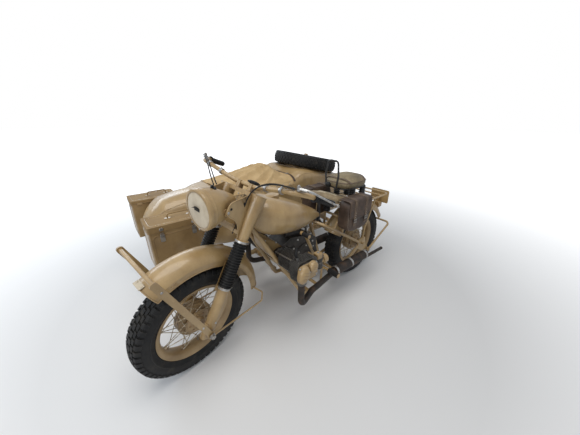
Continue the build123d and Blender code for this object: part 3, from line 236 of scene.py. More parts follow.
def casting(name, low, mid, high, rough=0.55, metal=0.55):
    """Iron or alloy, stained with oil and heat, rubbed along its edges, with painted shade in its hollows."""
    iron, stains, colour = stained(name, 18.0, 8.0, 0.66, (0.32, low), (0.5, mid), (0.72, high), Metallic=metal)
    rubbed = iron.blend(iron.edges(0.0025), colour, (*[c * 2.2 + 0.02 for c in high], 1))
    # Painted shade: ambient occlusion darkens the casting in its hollows.
    iron_hollow_shade = iron.hollows(0.03, (0.2, (0.3, 0.27, 0.24)), (0.8, (1, 1, 1)))
    iron.skin(iron.noise(280.0, 4.0), 0.35, 0.0006)
    iron.feed(
        Base_Color=iron.blend(0.85, rubbed, iron_hollow_shade, "MULTIPLY"), Roughness=iron.spread(stains, rough - 0.2, rough + 0.2)
    )
    return iron.mat


def hide(name, low, mid, high, wrinkle=26.0, rough=0.52):
    """Leather: stained, creased in cells and paler along its edges."""
    leather, stains, colour = stained(name, wrinkle * 0.5, 8.0, 0.7, (0.32, low), (0.52, mid), (0.72, high))
    cells, creases = [
        leather.make("TexVoronoi", {"Vector": leather.where, "Scale": size}, "Distance", feature="DISTANCE_TO_EDGE")
        for size in (320.0, wrinkle)
    ]
    cracks = leather.ramp(creases, (0.0, (0.45, 0.4, 0.34)), (0.035, (1, 1, 1)))
    aged = leather.blend(0.6, colour, cracks, "MULTIPLY")
    rubbed = leather.blend(leather.edges(0.006), aged, (*[c * 1.35 + 0.02 for c in high], 1))
    leather.skin(leather.sum("ADD", cells, creases), 0.45, 0.0012)
    leather.feed(Base_Color=rubbed, Roughness=leather.spread(stains, rough - 0.14, rough + 0.2))
    return leather.mat


def moulded(name, cloud_look, stops, worn, pores, strength, distance, rough):
    """Rubber with dust on it, paler along its edges."""
    black, dust, colour = stained(name, *cloud_look, *stops, Specular_IOR_Level=0.25)
    black.skin(black.noise(pores, 3.0), strength, distance)
    black.feed(Base_Color=black.blend(black.edges(0.003), colour, (*worn, 1)), Roughness=black.spread(dust, *rough))
    return black.mat


desert_tan = enamel("desert_tan", (0.4, 0.268, 0.118), (0.48, 0.335, 0.16), (0.32, 0.205, 0.085), (0.15, 0.09, 0.05))
wheel_tan = enamel(
    "wheel_tan", (0.36, 0.245, 0.12), (0.43, 0.3, 0.155), (0.26, 0.172, 0.082), (0.14, 0.1, 0.07), 0.42, 0.15
)
# A darker copy of the tan: painted shade on the boxes' sides and brackets, the box trim and the seat box.
painted_shade_tan = enamel(
    "painted_shade_tan", (0.3, 0.196, 0.086), (0.36, 0.243, 0.112), (0.22, 0.138, 0.058), (0.12, 0.075, 0.05), 0.4
)
# A darker, matte copy of the tan for the box lids and the tub's nose: the matte finish is real, its darker colour is
# painted shade.
matte_painted_shade_tan = enamel(
    "matte_painted_shade_tan", (0.28, 0.178, 0.072), (0.335, 0.222, 0.097), (0.215, 0.133, 0.051), (0.12, 0.075, 0.042), 0.7, 0.0
)
cream = enamel(
    "cream_disc", (0.62, 0.53, 0.39), (0.7, 0.61, 0.46), (0.52, 0.43, 0.3), (0.22, 0.16, 0.1), 0.4, 0.2, 16.0
)
black_enamel = enamel(
    "black_enamel", (0.018, 0.018, 0.019), (0.036, 0.034, 0.032), (0.01, 0.01, 0.01), (0.1, 0.07, 0.05), 0.4, 0.2, 20.0
)
oily_iron = casting("oily_iron", (0.02, 0.018, 0.016), (0.05, 0.045, 0.04), (0.095, 0.085, 0.075))
fin_alloy = casting("fin_alloy", (0.04, 0.036, 0.032), (0.085, 0.078, 0.07), (0.15, 0.14, 0.125), 0.5, 0.7)
burnt_pipe = casting("burnt_pipe", (0.014, 0.012, 0.011), (0.04, 0.03, 0.024), (0.105, 0.06, 0.036), 0.6, 0.4)
saddle_hide = hide("saddle_hide", (0.17, 0.12, 0.07), (0.3, 0.225, 0.13), (0.42, 0.33, 0.205))
# The diamond on the saddle: a paler hide whose lighter colour is painted sunlight.
painted_sunlight_hide = hide("painted_sunlight_hide", (0.42, 0.34, 0.22), (0.55, 0.465, 0.32), (0.66, 0.58, 0.43))
pillion_hide = hide("pillion_hide", (0.13, 0.1, 0.055), (0.235, 0.185, 0.105), (0.34, 0.275, 0.17), 20.0)
strap_hide = hide("strap_hide", (0.055, 0.035, 0.022), (0.1, 0.065, 0.04), (0.17, 0.115, 0.07), 40.0)
dark_hide = hide("dark_hide", (0.03, 0.018, 0.012), (0.07, 0.042, 0.027), (0.13, 0.085, 0.055), 22.0, 0.5)

rubber = moulded(
    "dusty_rubber", (16.0, 8.0, 0.65),
    ((0.36, (0.008, 0.008, 0.009)), (0.55, (0.017, 0.0165, 0.016)), (0.8, (0.06, 0.052, 0.042))),
    (0.048, 0.045, 0.04), 320.0, 0.25, 0.0006, (0.4, 0.75),
)
bellows_rubber = moulded(
    "bellows_rubber", (24.0, 6.0, 0.5), ((0.35, (0.004, 0.004, 0.0045)), (0.7, (0.012, 0.0115, 0.011))),
    (0.035, 0.033, 0.03), 260.0, 0.2, 0.0005, (0.5, 0.5),
)
made, spots, colour = stained(
    "dull_steel", 60.0, 6.0, 0.7, (0.34, (0.2, 0.13, 0.08)), (0.46, (0.4, 0.39, 0.37)), (0.7, (0.62, 0.61, 0.58)),
    Metallic=0.9,
)
made.skin(spots, 0.15, 0.0005)
made.feed(Base_Color=colour, Roughness=made.spread(spots, 0.5, 0.24))
steel = made.mat
made, spots, colour = stained(
    "spoke_wire", 90.0, 5.0, 0.5, (0.35, (0.16, 0.1, 0.055)), (0.5, (0.42, 0.34, 0.22)), (0.7, (0.55, 0.5, 0.42)),
    Metallic=0.6, Roughness=0.42,
)
made.feed(Base_Color=colour)
spoke_wire = made.mat
made, spots, colour = stained(
    "waxed_thread", 400.0, 2.0, 0.5, (0.35, (0.28, 0.23, 0.16)), (0.65, (0.48, 0.42, 0.31)), Roughness=0.8
)
made.feed(Base_Color=colour)
thread = made.mat
made = Coat("red_lens")
made.feed(Base_Color=(0.3, 0.012, 0.01, 1), Roughness=0.18)
red_lens = made.mat

# Canvas: proofed duck, woven both ways and creased.
made, stains, colour = stained(
    "canvas_duck", 8.0, 8.0, 0.65,
    (0.3, (0.39, 0.262, 0.126)), (0.5, (0.54, 0.376, 0.186)), (0.7, (0.64, 0.465, 0.245)), Roughness=0.85,
)
weave = {"Vector": made.where, "Scale": 240.0, "Distortion": 0.6}
threads = [made.make("TexWave", weave, "Fac", bands_direction=axis) for axis in ("X", "Y")]
creases = made.noise(22.0, 7.0, Distortion=1.4)
made.skin(made.sum("ADD", made.sum("MAXIMUM", *threads), made.sum("MULTIPLY", creases, 5.0)), 0.5, 0.0012)
made.feed(Base_Color=colour)
canvas_duck = made.mat

finishes = {part["node"]: desert_tan for part in frame["record"]["subparts"] if part["material_slot"] == "tan_paint"}
# The boxes' sides and brackets take the tan's darker copy, which is painted shade.
finishes.update(dict.fromkeys(("near_box", "far_box", "box_brackets"), painted_shade_tan))
# The lids and the nose take the darker matte copy; its darker colour is painted shade.
finishes.update(dict.fromkeys(("near_box_lid", "far_box_lid", "sidecar_nose"), matte_painted_shade_tan))
finishes.update(dict.fromkeys(("left_exhaust", "right_exhaust"), burnt_pipe), engine_block=oily_iron)
finishes.update(dict.fromkeys(("saddle_springs", "pillion_frame"), black_enamel))
for name, mat in finishes.items():
    mesh = nodes[name].data
    mesh.materials.clear()
    mesh.materials.append(mat)


# Shapes. Profiles and outlines are written in millimetres; everything else is in metres.
def point(x, y, z):
    """A place in metres from the rear axle: forward, to the rider's left, up."""
    return Vector((x - 0.583, y + 0.395, z))


def at(x, y, z):
    return Matrix.Translation(point(x, y, z))


def shift(x, y, z):
    return Matrix.Translation((x, y, z))


def mm(pairs):
    return [tuple(float(size) / 1000 for size in pair.split(",")) for pair in pairs.split()]


def polar(radius, angle, high=0.0):
    return Vector((radius * cos(angle), radius * sin(angle), high))


def turned(degrees_round, axis):
    return Matrix.Rotation(radians(degrees_round), 4, axis)


def aimed(spot, run):
    """A frame at a spot, whose Z runs along a direction."""
    return Matrix.Translation(spot) @ Vector(run).to_track_quat("Z", "Y").to_matrix().to_4x4()


def placed(place, made):
    points, faces = made
    return [tuple(place @ Vector(spot)) for spot in points], faces


def both(one, other):
    count = len(one[0])
    return one[0] + other[0], list(one[1]) + [[count + corner for corner in face] for face in other[1]]


class Shape:
    def __init__(self):
        self.points, self.faces, self.coats = [], [], []

    def add(self, made, coat=0, place=None):
        points, faces = placed(place, made) if place else made
        start = len(self.points)
        self.points += points
        self.faces += [[start + corner for corner in face] for face in faces]
        self.coats += [coat] * len(faces)

    def piece(self, name, *coats, body="motorcycle", sharp=34, place=None, instead_of=None, slot=None):
        mesh = bpy.data.meshes.new(name)
        mesh.from_pydata(self.points, [], self.faces)
        for mat in coats:
            mesh.materials.append(mat)
        mesh.polygons.foreach_set("material_index", self.coats)
        tidy = bmesh.new()
        tidy.from_mesh(mesh)
        bmesh.ops.recalc_face_normals(tidy, faces=tidy.faces)
        tidy.to_mesh(mesh)
        tidy.free()
        if place:
            mesh.transform(place)
        mesh.shade_smooth()
        mesh.set_sharp_from_angle(angle=radians(sharp))
        made = bpy.data.objects.new(name, mesh)
        bpy.context.collection.objects.link(made)
        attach(made, body)
        if instead_of:
            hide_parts(instead_of)
        return made


def loft(rows, round_off=True, ends=True, flip=False):
    """Rows of points joined by quads, closed round each row and with a face at each end."""
    count = len(rows[0])
    faces = []
    if ends:
        first, last = list(range(count)), [(len(rows) - 1) * count + step for step in range(count)]
        faces = [first, last[::-1]] if flip else [first[::-1], last]
    for row in range(len(rows) - 1):
        a, b = row * count, (row + 1) * count
        for step in range(count if round_off else count - 1):
            after = (step + 1) % count
            quad = (a + step, a + after, b + after, b + step)
            faces.append((quad[0], *quad[:0:-1]) if flip else quad)
    return [tuple(spot) for row in rows for spot in row], faces


def spun(profile, sides=48, ring=False):
    """A profile of (radius, height) turned about Z: a solid, or a ring whose profile closes on itself."""
    profile = mm(profile) if isinstance(profile, str) else profile
    rows = [[(r * cos(tau * k / sides), r * sin(tau * k / sides), h) for r, h in profile] for k in range(sides)]
    count, total = len(profile), len(profile) * sides
    faces = []
    for near in range(0, total, count):
        far = (near + count) % total
        for step in range(count if ring else count - 1):
            after = (step + 1) % count
            faces.append((near + step, far + step, far + after, near + after))
    if not ring:
        faces += [list(range(0, total, count)), list(range(count - 1, total, count))[::-1]]
    return [spot for row in rows for spot in row], faces


def hoop(profile, sides=48):
    return spun(profile, sides, ring=True)


def rod(a, b, radius, sides=10, tip=None):
    a, b = Vector(a), Vector(b)
    made = spun([(radius, 0), (radius if tip is None else tip, (b - a).length)], sides)
    return placed(aimed(a, b - a), made)


def hex_head(spot, along, across=0.013, high=0.006):
    """A bolt head on its washer, standing on a surface."""
    washer = spun([(across * 0.62, -0.001), (across * 0.62, 0.0012), (0.0005, 0.0012)], 14)
    nut = spun([(across * 0.5, 0.001), (across * 0.5, high - 0.001), (across * 0.42, high)], 6)
    return placed(aimed(spot, Vector(along).normalized()), both(washer, nut))


def rivet(spot, along, radius=0.005):
    dome = [(radius, -0.0005), (radius * 0.86, radius * 0.35), (radius * 0.4, radius * 0.6), (0.0004, radius * 0.65)]
    return placed(aimed(spot, along), spun(dome, 10))


def bent(points, bend, steps=6):
    """A route with its corners rounded, for tubes that were bent round a former."""
    points = [Vector(spot) for spot in points]
    route = [points[0]]
    for before, corner, after in zip(points, points[1:], points[2:]):
        back, ahead = (before - corner), (after - corner)
        a = corner + back.normalized() * min(bend, back.length * 0.49)
        b = corner + ahead.normalized() * min(bend, ahead.length * 0.49)
        for step in range(steps + 1):
            share = step / steps
            route.append(a.lerp(corner, share).lerp(corner.lerp(b, share), share))
    return route + [points[-1]]


def runs_of(route):
    """Each point of a route with the direction that the route has there."""
    last = len(route) - 1
    return [(spot, (route[min(k + 1, last)] - route[max(k - 1, 0)]).normalized()) for k, spot in enumerate(route)]


def tube(route, radius, sides=12):
    """A round tube along a route; radius may be a list, one for each point."""
    sizes = radius if isinstance(radius, list) else [radius] * len(route)
    across = None
    rows = []
    for (spot, run), size in zip(runs_of([Vector(spot) for spot in route]), sizes):
        if across is None:
            across = run.orthogonal().normalized()
        across = (across - run * across.dot(run)).normalized()
        other = run.cross(across)
        turns = [tau * side / sides for side in range(sides)]
        rows.append([spot + (across * cos(angle) + other * sin(angle)) * size for angle in turns])
    return loft(rows)


def slab(outline, low, high, chamfer=0.0, middle=(0, 0)):
    """A flat plate cut to an outline, with its edges eased by the chamfer."""
    cx, cy = middle
    rows = [(low, 1.0), (high, 1.0)]
    if chamfer:
        ease = 1 - chamfer / max(hypot(x - cx, y - cy) for x, y in outline)
        rows = [(low, ease), (low + chamfer, 1.0), (high - chamfer, 1.0), (high, ease)]
    return loft([[(cx + (x - cx) * grow, cy + (y - cy) * grow, z) for x, y in outline] for z, grow in rows])


QUARTERS = ((1, 1, 0), (-1, 1, 90), (-1, -1, 180), (1, -1, 270))


def rounded(wide, high, corner, steps=5, cx=0.0):
    """A rectangle's outline with round corners, its middle moved along the first axis by cx."""
    outline = []
    for sx, sy, first in QUARTERS:
        for step in range(steps + 1):
            x, y, z = polar(corner, radians(first + 90 * step / steps))
            outline.append((cx + sx * (wide / 2 - corner) + x, sy * (high / 2 - corner) + y))
    return outline


STRAP_THICK = 0.0026


def strap(route, ups, wide):
    """A flat strap along a route, with the way its face looks at each point."""
    rows = []
    for (spot, run), up in zip(runs_of([Vector(spot) for spot in route]), ups):
        across = run.cross(up).normalized()
        up = across.cross(run).normalized()
        corners = ((-1, 0), (-0.92, 1), (0.92, 1), (1, 0))
        rows.append([spot + across * side * wide / 2 + up * lift * STRAP_THICK for side, lift in corners])
    return loft(rows, flip=True)


def buckle(spot, along, up, wide):
    """A square wire buckle with its tongue."""
    along, up = Vector(along).normalized(), Vector(up).normalized()
    across = along.cross(up).normalized()
    spot = Vector(spot) + up * 0.0045
    corners = ((-1, -1), (1, -1), (1, 1), (-1, 1), (-1, -1))
    loop = [spot + across * a * (wide / 2 + 0.004) + along * b * 0.011 for a, b in corners]
    tongue = [spot - along * 0.011, spot + along * 0.0115 + up * 0.0015]
    return both(tube(loop, 0.0018, 6), tube(tongue, 0.0014, 6))


def facing(spot, out, up=UP):
    """A frame whose third axis looks out of a face, and whose second runs up it."""
    out, up = Vector(out), Vector(up)
    return Matrix.Translation(spot) @ Matrix((up.cross(out), up, out)).transposed().to_4x4()


def bead_loop(wide, high, corner, place, radius=0.002):
    loop = [(*spot, 0) for spot in rounded(wide, high, corner)]
    return placed(place, tube(loop + loop[:1], radius, 6))


# Road wheels: four alike and interchangeable. A rolled steel rim, a cast drum hub with a ring flange on
# its left, and thirty-six crossed wire spokes screwed into nipples; painted as one, then scuffed.
RIM_LINE = mm("223.5,44 225.5,44 226.2,42.4 225.5,40.4 223.5,39 215,37.4 207,36.2 202,28 200,20 198.5,8")
RIM_UNDER = mm("193.5,6 194.5,18 197.5,27 202,34.5 211,40 219,41.6")
HUB_LINE = (
    "10.5,-60 19,-60 24,-56 24,-50 60,-50 64,-47 82,-47 88,-46.5 96,-42 98,-39 98,-25 95.5,-23.5 95.5,-20.5 98,-19 "
    "98,-5 95.5,-3.5 95.5,-0.5 98,1 98,11 96,14 64,24 60,27 60,30 71.5,30 72,31 72,34.5 71,35.5 60,35.5 57,38 40,41.5 "
    "34,44 30,56 28,60 10.5,60"
)
# Spokes: radius and place of the flange, place in the rim, first bearing and lead in degrees
SPOKE_ROWS = (
    (0.096, -0.034, -0.008, 0, 34), (0.096, -0.034, -0.008, 20, -34),
    (0.07, 0.0325, 0.008, 10, 48), (0.07, 0.0325, 0.008, 30, -48),
)
WALL_LINE = mm(
    "317,13 314.5,30 308.5,45 300,52 290,56 276,58.5 265,59 256,58.5 254.5,59.8 251.5,59.2 250.5,57 242,53 "
    "233,45.5 230,44.8 227,41 224.5,37.3 214,35 208,24"
)


def mirrored(line):
    return [(r, -w) for r, w in reversed(line)]


HEAD_LEAN = radians(27.5)
head_axis = Vector((-sin(HEAD_LEAN), 0, cos(HEAD_LEAN)))
head_ahead = Vector((cos(HEAD_LEAN), 0, sin(HEAD_LEAN)))
head_foot = point(FRONT_AXLE, 0, AXLE_HIGH) - head_ahead * 0.07
STEERED = 12.5
TURNED = Matrix.Translation(head_foot) @ turned(STEERED, head_axis) @ Matrix.Translation(-head_foot)


def axle_at(x, y):
    """Axes of a wheel: its own Z is the axle, to the rider's left, and its X is forward."""
    return at(x, y, AXLE_HIGH) @ Matrix(((1, 0, 0), (0, 0, 1), (0, -1, 0))).to_4x4()


front_axle, rear_axle, sidecar_axle = TURNED @ axle_at(FRONT_AXLE, 0), axle_at(0, 0), axle_at(0, -TRACK)
wheel_places = {
    "front": (front_axle, "front_wheel_body"),
    "rear": (rear_axle, "rear_wheel_body"),
    "sidecar": (sidecar_axle, "sidecar_wheel_body"),
    "spare": (at(-0.08, SIDECAR, 0.918) @ turned(-12.5, "Y"), "boot_lid_body"),
}
for name, (place, body) in wheel_places.items():
    wheel = Shape()
    wheel.add(hoop(RIM_LINE + mirrored(RIM_LINE) + mirrored(RIM_UNDER) + RIM_UNDER, 96))
    wheel.add(hoop(HUB_LINE, 48))
    for hub_r, hub_w, rim_w, first, lead in SPOKE_ROWS:
        for count in range(9):
            start = radians(first + 40 * count)
            foot, tip = polar(hub_r, start, hub_w), polar(0.1955, start + radians(lead), rim_w)
            wheel.add(rod(foot, tip, 0.0021, 6), 1)
            wheel.add(rod(tip, tip + (foot - tip).normalized() * 0.016, 0.004, 6, tip=0.003), 1)
            head = foot + Vector((0, 0, 0.003 if hub_w < 0 else -0.003))
            wheel.add(rod(head, foot + (foot - head), 0.0038, 6), 1)
    for count in range(8):
        wheel.add(hex_head(polar(0.049, tau * count / 8, 0.0395), UP, 0.009, 0.005))
    replaced = f"{name}_wheel"
    wheel.piece(
        f"{name}_spoked_wheel", wheel_tan, spoke_wire, body=body, place=place, instead_of=replaced, slot="tan_paint"
    )

# Tyres: 3.75 by 19 cross-country pattern, black rubber moulded in five rows of square blocks with lugs
# that run down the shoulder, over a smooth sidewall with a moulded rib. Grey-brown dust sits on them.
BLOCKS = 54
SHOULDER = mm("308,35 318.5,35 319.5,36.5 317,47 314,50.5 305,55.5 294.5,58.8 292.5,56.5 299,52")
MIDDLE = mm("312,15.5 322.5,15.5 323.8,17 321.5,30 320,31.2 308,31.2")
CENTRE = mm("314,-11.2 323.6,-11.2 324.8,-9.8 324.8,9.8 323.6,11.2 314,11.2")
EASE = 0.0014


def tread_block(outline, hand, centre, half, slant):
    """One moulded block: its outline across the tyre, drawn along the tread with chamfered ends."""
    outline = [(r, hand * w) for r, w in outline]
    mid_r = sum(r for r, w in outline) / len(outline)
    mid_w = sum(w for r, w in outline) / len(outline)
    rows = []
    for turn, shrink in ((-half, EASE), (-half + 0.0042, 0), (half - 0.0042, 0), (half, EASE)):
        row = []
        for r, w in outline:
            w = w - shrink if w > mid_w else w + shrink
            row.append(polar(r - shrink if r > mid_r else r, centre + turn + slant * hand * w, w))
        rows.append(row)
    return loft(rows, flip=True)


pitch = tau / BLOCKS
for name, (place, body) in wheel_places.items():
    tyre = Shape()
    tyre.add(hoop(WALL_LINE + mirrored(WALL_LINE), 96))
    for count in range(BLOCKS):
        spot = pitch * count
        tyre.add(tread_block(CENTRE, 1, spot, pitch * 0.36, 0.0))
        for hand in HANDS:
            tyre.add(tread_block(MIDDLE, hand, spot + pitch * 0.5, pitch * 0.35, 0.7))
            tyre.add(tread_block(SHOULDER, hand, spot + pitch * 0.06, pitch * 0.33, 0.3))
    replaced = f"{name}_tyre"
    tyre.piece(
        f"{name}_block_tyre", rubber, body=body, place=place, instead_of=replaced, slot="tyre_rubber", sharp=28
    )

# Valve stems: a stem with a dust cap through each rim, opposite a security bolt.
for name, (place, body) in wheel_places.items():
    valve = Shape()
    for a, b, radius in (
        ((0, 0.196, 0), (0, 0.168, 0), 0.0036),
        ((0, 0.172, 0), (0, 0.16, 0), 0.0048),
        ((0.034, -0.192, 0), (0.031, -0.176, 0), 0.0045),
    ):
        valve.add(rod(a, b, radius))
    valve.piece(f"{name}_valve", steel, body=body, place=place)

# Fork: two telescopic legs. The sliders and their webs are tan castings; rubber bellows clipped with
# steel bands keep dust off the tubes, and pressed covers hide the springs up to the yokes.
head_turn = Matrix(((head_ahead.x, 0, head_axis.x), (0, 1, 0), (head_ahead.z, 0, head_axis.z))).to_4x4()
fork_frame = TURNED @ Matrix.Translation(head_foot) @ head_turn
fork_turn = fork_frame.to_3x3()


def up_the_leg(hand, height, ahead=0.058, spread=0.118):
    return fork_frame @ shift(ahead, hand * spread, height)


GAITER_RIDGES = 17
gaiter_line = [(0.029, 0.0), (0.03, 0.004)]
for ridge in range(GAITER_RIDGES):
    for share, radius in ((0.0, 28.8), (0.16, 29.2), (0.36, 34.8), (0.5, 36.0), (0.64, 34.8), (0.84, 29.2)):
        gaiter_line.append((radius / 1000, 0.006 + (ridge + share) * 0.2465 / GAITER_RIDGES))
gaiter_line += mm("29,254 28.5,258.8")
gaiters, bands, fittings = Shape(), Shape(), Shape()
for hand in HANDS:
    leg, foot = up_the_leg(hand, 0.2492), up_the_leg(hand, 0.0)
    gaiters.add(spun(gaiter_line, 40), place=leg)
    bands.add(hoop("31.2,-5.5 33,-5.5 33.4,-3 33.4,5 32.2,6.2 30.8,6.2", 40), place=leg)
    bands.add(hoop("36.2,260 37.5,260 37.5,270 36.2,270", 40), place=leg)
    for height in (0.001, 0.265):
        bands.add(rod((-0.04, -0.009, height), (-0.04, 0.012, height), 0.003, 8), place=leg)
        bands.add(hex_head((-0.04, 0.012, height), (0, 1, 0), 0.007, 0.004), place=leg)
    tip = up_the_leg(hand, 0.0, ahead=0.07, spread=0.172)
    fittings.add(hex_head((0, 0, 0), (0, hand, 0), 0.026, 0.014), place=tip)
    for height in (-0.03, 0.03):
        fittings.add(hex_head((0.024, hand * 0.001, height), (1, 0, 0), 0.011), place=foot)
    fittings.add(hex_head((0.0, hand * 0.03, 0.06), (0, hand, 0), 0.01, 0.005), place=foot)
    fittings.add(hex_head((0.0, 0.0, 0.5165), UP, 0.028, 0.011), place=foot)
    for height in (0.644, 0.66):
        for ahead in (0.052, 0.132):
            yoke = up_the_leg(hand, height, ahead, 0.104)
            fittings.add(hex_head((0, 0, 0), (0, hand, 0), 0.01, 0.005), place=yoke)
gaiters.piece("fork_bellows", bellows_rubber, body="steering", instead_of="fork_gaiters", slot="black_rubber")
bands.piece("bellows_bands", steel, body="steering")
fittings.piece("fork_bolts", steel, body="steering")

damper = Shape()
damper.add(spun("0.5,797 10,797 10,806 26,808 31,812 31,820 26,825 8,827", 30), place=fork_frame)
for count in range(6):
    lug = fork_frame @ Matrix.Translation(polar(0.028, tau * count / 6, 0.816))
    damper.add(spun("0.5,-5.5 8,-5 8.8,0 8,5 0.5,5.5", 10), place=lug)
damper.piece("steering_damper_knob", bellows_rubber, body="steering")


# Handlebar fittings: ribbed rubber grips pushed on the tube, forged levers on perches, and the clutch
# and brake cables that run down from them beside the headlamp.
def steered(x, y, z):
    return TURNED @ point(x, y, z)


def cable_line(route):
    """A smooth line through the air, held at the route's ends."""
    curve = bpy.data.curves.new("cable_run", "CURVE")
    curve.dimensions = "3D"
    spline = curve.splines.new("NURBS")
    spline.points.add(len(route) - 1)
    for spot, place in zip(spline.points, route):
        spot.co = (*place, 1)
    spline.order_u = 4
    spline.use_endpoint_u = True
    spline.resolution_u = 8
    holder = bpy.data.objects.new("cable_run", curve)
    line = [vertex.co.copy() for vertex in bpy.data.meshes.new_from_object(holder).vertices]
    bpy.data.objects.remove(holder)
    return line


# The cables' way: forward, to the side, up, and how far the second cable stands off in y and z
CABLE_WAY = (
    (1.073, 0.345, 1.1, 0, 0), (1.11, 0.27, 1.112, 0, 1), (1.15, 0.185, 1.095, 0, 0), (1.165, 0.128, 1.02, 1, 0),
    (1.15, 0.082, 0.93, 1, 0), (1.168, 0.064, 0.86, 0, 0), (1.196, 0.058, 0.8, 0, 0),
)
grips, levers, perches, cables = Shape(), Shape(), Shape(), Shape()
for hand in HANDS:
    inner, outer = steered(1.021, hand * 0.396, 1.065), steered(0.886, hand * 0.44, 1.004)
    along = (outer - inner).normalized()
    length = (outer - inner).length - 0.014
    grip_line = mm("12.6,0 21.5,0 22.5,2 22,5 17,8")
    for ring in range(14):
        start = 0.012 + ring * (length - 0.026) / 14
        grip_line += [(0.0155, start), (0.017, start + 0.0025), (0.017, start + 0.0055)]
    grip_line += [(0.016, length - 0.008), (0.017, length - 0.004), (0.015, length), (0.0005, length)]
    grips.add(spun(grip_line, 28), place=aimed(inner + along * 0.014, along))
    pivot = [steered(1.067, hand * 0.353, height) for height in (1.103, 1.0925, 1.1145)]
    elbow, tip = steered(1.05, hand * 0.408, 1.1), steered(0.93, hand * 0.486, 1.024)
    blade = bent([pivot[0], elbow, tip], 0.03, 8)
    levers.add(tube(blade, [0.0075 - 0.003 * step / (len(blade) - 1) for step in range(len(blade))], 10))
    levers.add(spun("0.5,-9 6,-7.5 8.8,-3 9,1 7.5,5.5 4.5,8 0.5,9", 16), place=aimed(tip, tip - elbow))
    levers.add(rod(pivot[1], pivot[2], 0.0085, 14))
    levers.add(hex_head(pivot[2], UP, 0.011, 0.005))
    a, b = steered(1.092, hand * 0.33, 1.085), steered(1.085, hand * 0.15, 1.05)
    for share in (0.3, 0.86):
        spot = a.lerp(b, share)
        clamp = hoop("12.3,-8 16.5,-8 17,-6 17,6 16.5,8 12.3,8", 24)
        perches.add(clamp, place=aimed(spot, (b - a).normalized()))
        perches.add(hex_head(spot + Vector((0.0, 0.0, 0.0165)), UP, 0.009, 0.005))
    for off in (0.0, 0.012):
        route = [steered(x + off, hand * (y + off * aside), z + off * above) for x, y, z, aside, above in CABLE_WAY]
        cables.add(tube(cable_line(route), 0.0031, 8))
grips.piece("ribbed_grips", bellows_rubber, body="steering", instead_of="hand_grips", slot="black_rubber")
levers.piece("forged_levers", steel, body="steering", instead_of="hand_levers", slot="bright_steel")
perches.piece("bar_clamps", steel, body="steering")
cables.piece("control_cables", bellows_rubber, body="steering")

# Headlamp: a spun steel bowl, conical behind, with a cream black-out disc that has one hooded slot. A
# rolled ring and one screw hold the disc; the lighting switch is on top of the bowl.
lamp_frame = TURNED @ at(1.336, 0, 0.958) @ Matrix(((0, 0, 1), (1, 0, 0), (0, 1, 0))).to_4x4()
bowl = Shape()
BOWL_LINE = (
    "0.5,-190 14,-190 22,-188.5 30,-182 38,-171 50,-152 62,-131 74,-108 84,-86 91.5,-64 96.5,-44 99.5,-28 100,-24 "
    "101.2,-22.5 101.2,-16 100,-14.5 100,-1 0.5,-1"
)
bowl.add(spun(BOWL_LINE, 64), place=lamp_frame)
for hand in HANDS:
    lug = lamp_frame @ shift(hand * 0.084, 0, -0.07)
    bowl.add(rod((0, 0, 0), (hand * 0.012, 0, 0), 0.0125, 20), place=lug)
    bowl.add(hex_head((hand * 0.024, 0, 0), (hand, 0, 0), 0.015, 0.008), 1, place=lug)
switch = lamp_frame @ shift(0, 0.085, -0.07) @ turned(-82, "X")
bowl.add(spun("0.5,-4 17,-4 17,5 15,7 8,8 7,20 0.5,21", 24), 2, place=switch)
bowl.piece(
    "lamp_bowl", desert_tan, steel, bellows_rubber, body="steering", instead_of="headlamp_shell", slot="tan_paint"
)

disc = Shape()
DISC_LINE = mm(
    "0.5,20.5 30,20.3 58,19.2 79,17.2 85,16 86.5,14.5 88,14.5 88.5,16 90.5,18 96,17.8 101,15.5 103.5,11.5 104,5 "
    "103.6,-3 102,-4.5 101.4,0 0.5,0"
)
RING_FIRST, RING_LAST = 6, 15
disc.add(spun(DISC_LINE, 72), place=lamp_frame)
for index, face in enumerate(disc.faces):
    steps = [corner % len(DISC_LINE) for corner in face]
    if len(face) == 4 and min(steps) >= RING_FIRST and max(steps) <= RING_LAST:
        disc.coats[index] = 1
arch = [(0.0235 * cos(pi * step / 12), 0.0085 * sin(pi * step / 12)) for step in range(13)]
hood = []
for depth, grow in ((0.0175, 1.0), (0.034, 0.96), (0.034, 0.86), (0.02, 0.84)):
    hood.append([(x * grow, 0.012 + y * grow, depth - (0.01 if y < 0.0015 and depth > 0.03 else 0)) for x, y in arch])
disc.add(loft(hood, round_off=False, ends=False), 2, place=lamp_frame)
# A black plate in the slot's mouth: painted shade for the lamp's dark inside.
slot_shade_plate = [(x, y, 0.0216) for x, y in ((-0.021, -0.001), (0.021, -0.001), (0.021, 0.0145), (-0.021, 0.0145))]
disc.add((slot_shade_plate, [(0, 1, 2, 3)]), 2, place=lamp_frame)
disc.add(spun("0.5,-2 5,-1 5,2 0.5,3", 12), 3, place=lamp_frame @ shift(0, -0.098, 0.0175))
disc.piece(
    "blackout_disc", cream, desert_tan, bellows_rubber, steel,
    body="steering", instead_of="headlamp_cover", slot="lamp_disc", sharp=24,
)

# Mudguards: rolled steel, deep in section. Their edges are turned round a wire, and the stays and the
# front number bracket are riveted on; the bracket's plate is left blank.
GUARD_HALF, GUARD_DROP, GUARD_SKIRT = 0.076, 0.052, 0.028


def guard_edge(wheel_frame, radius, half, first, last):
    turns = [radians(first + (last - first) * step / 48) for step in range(49)]
    return tube([wheel_frame @ polar(radius, angle, half) for angle in turns], 0.0036, 8)


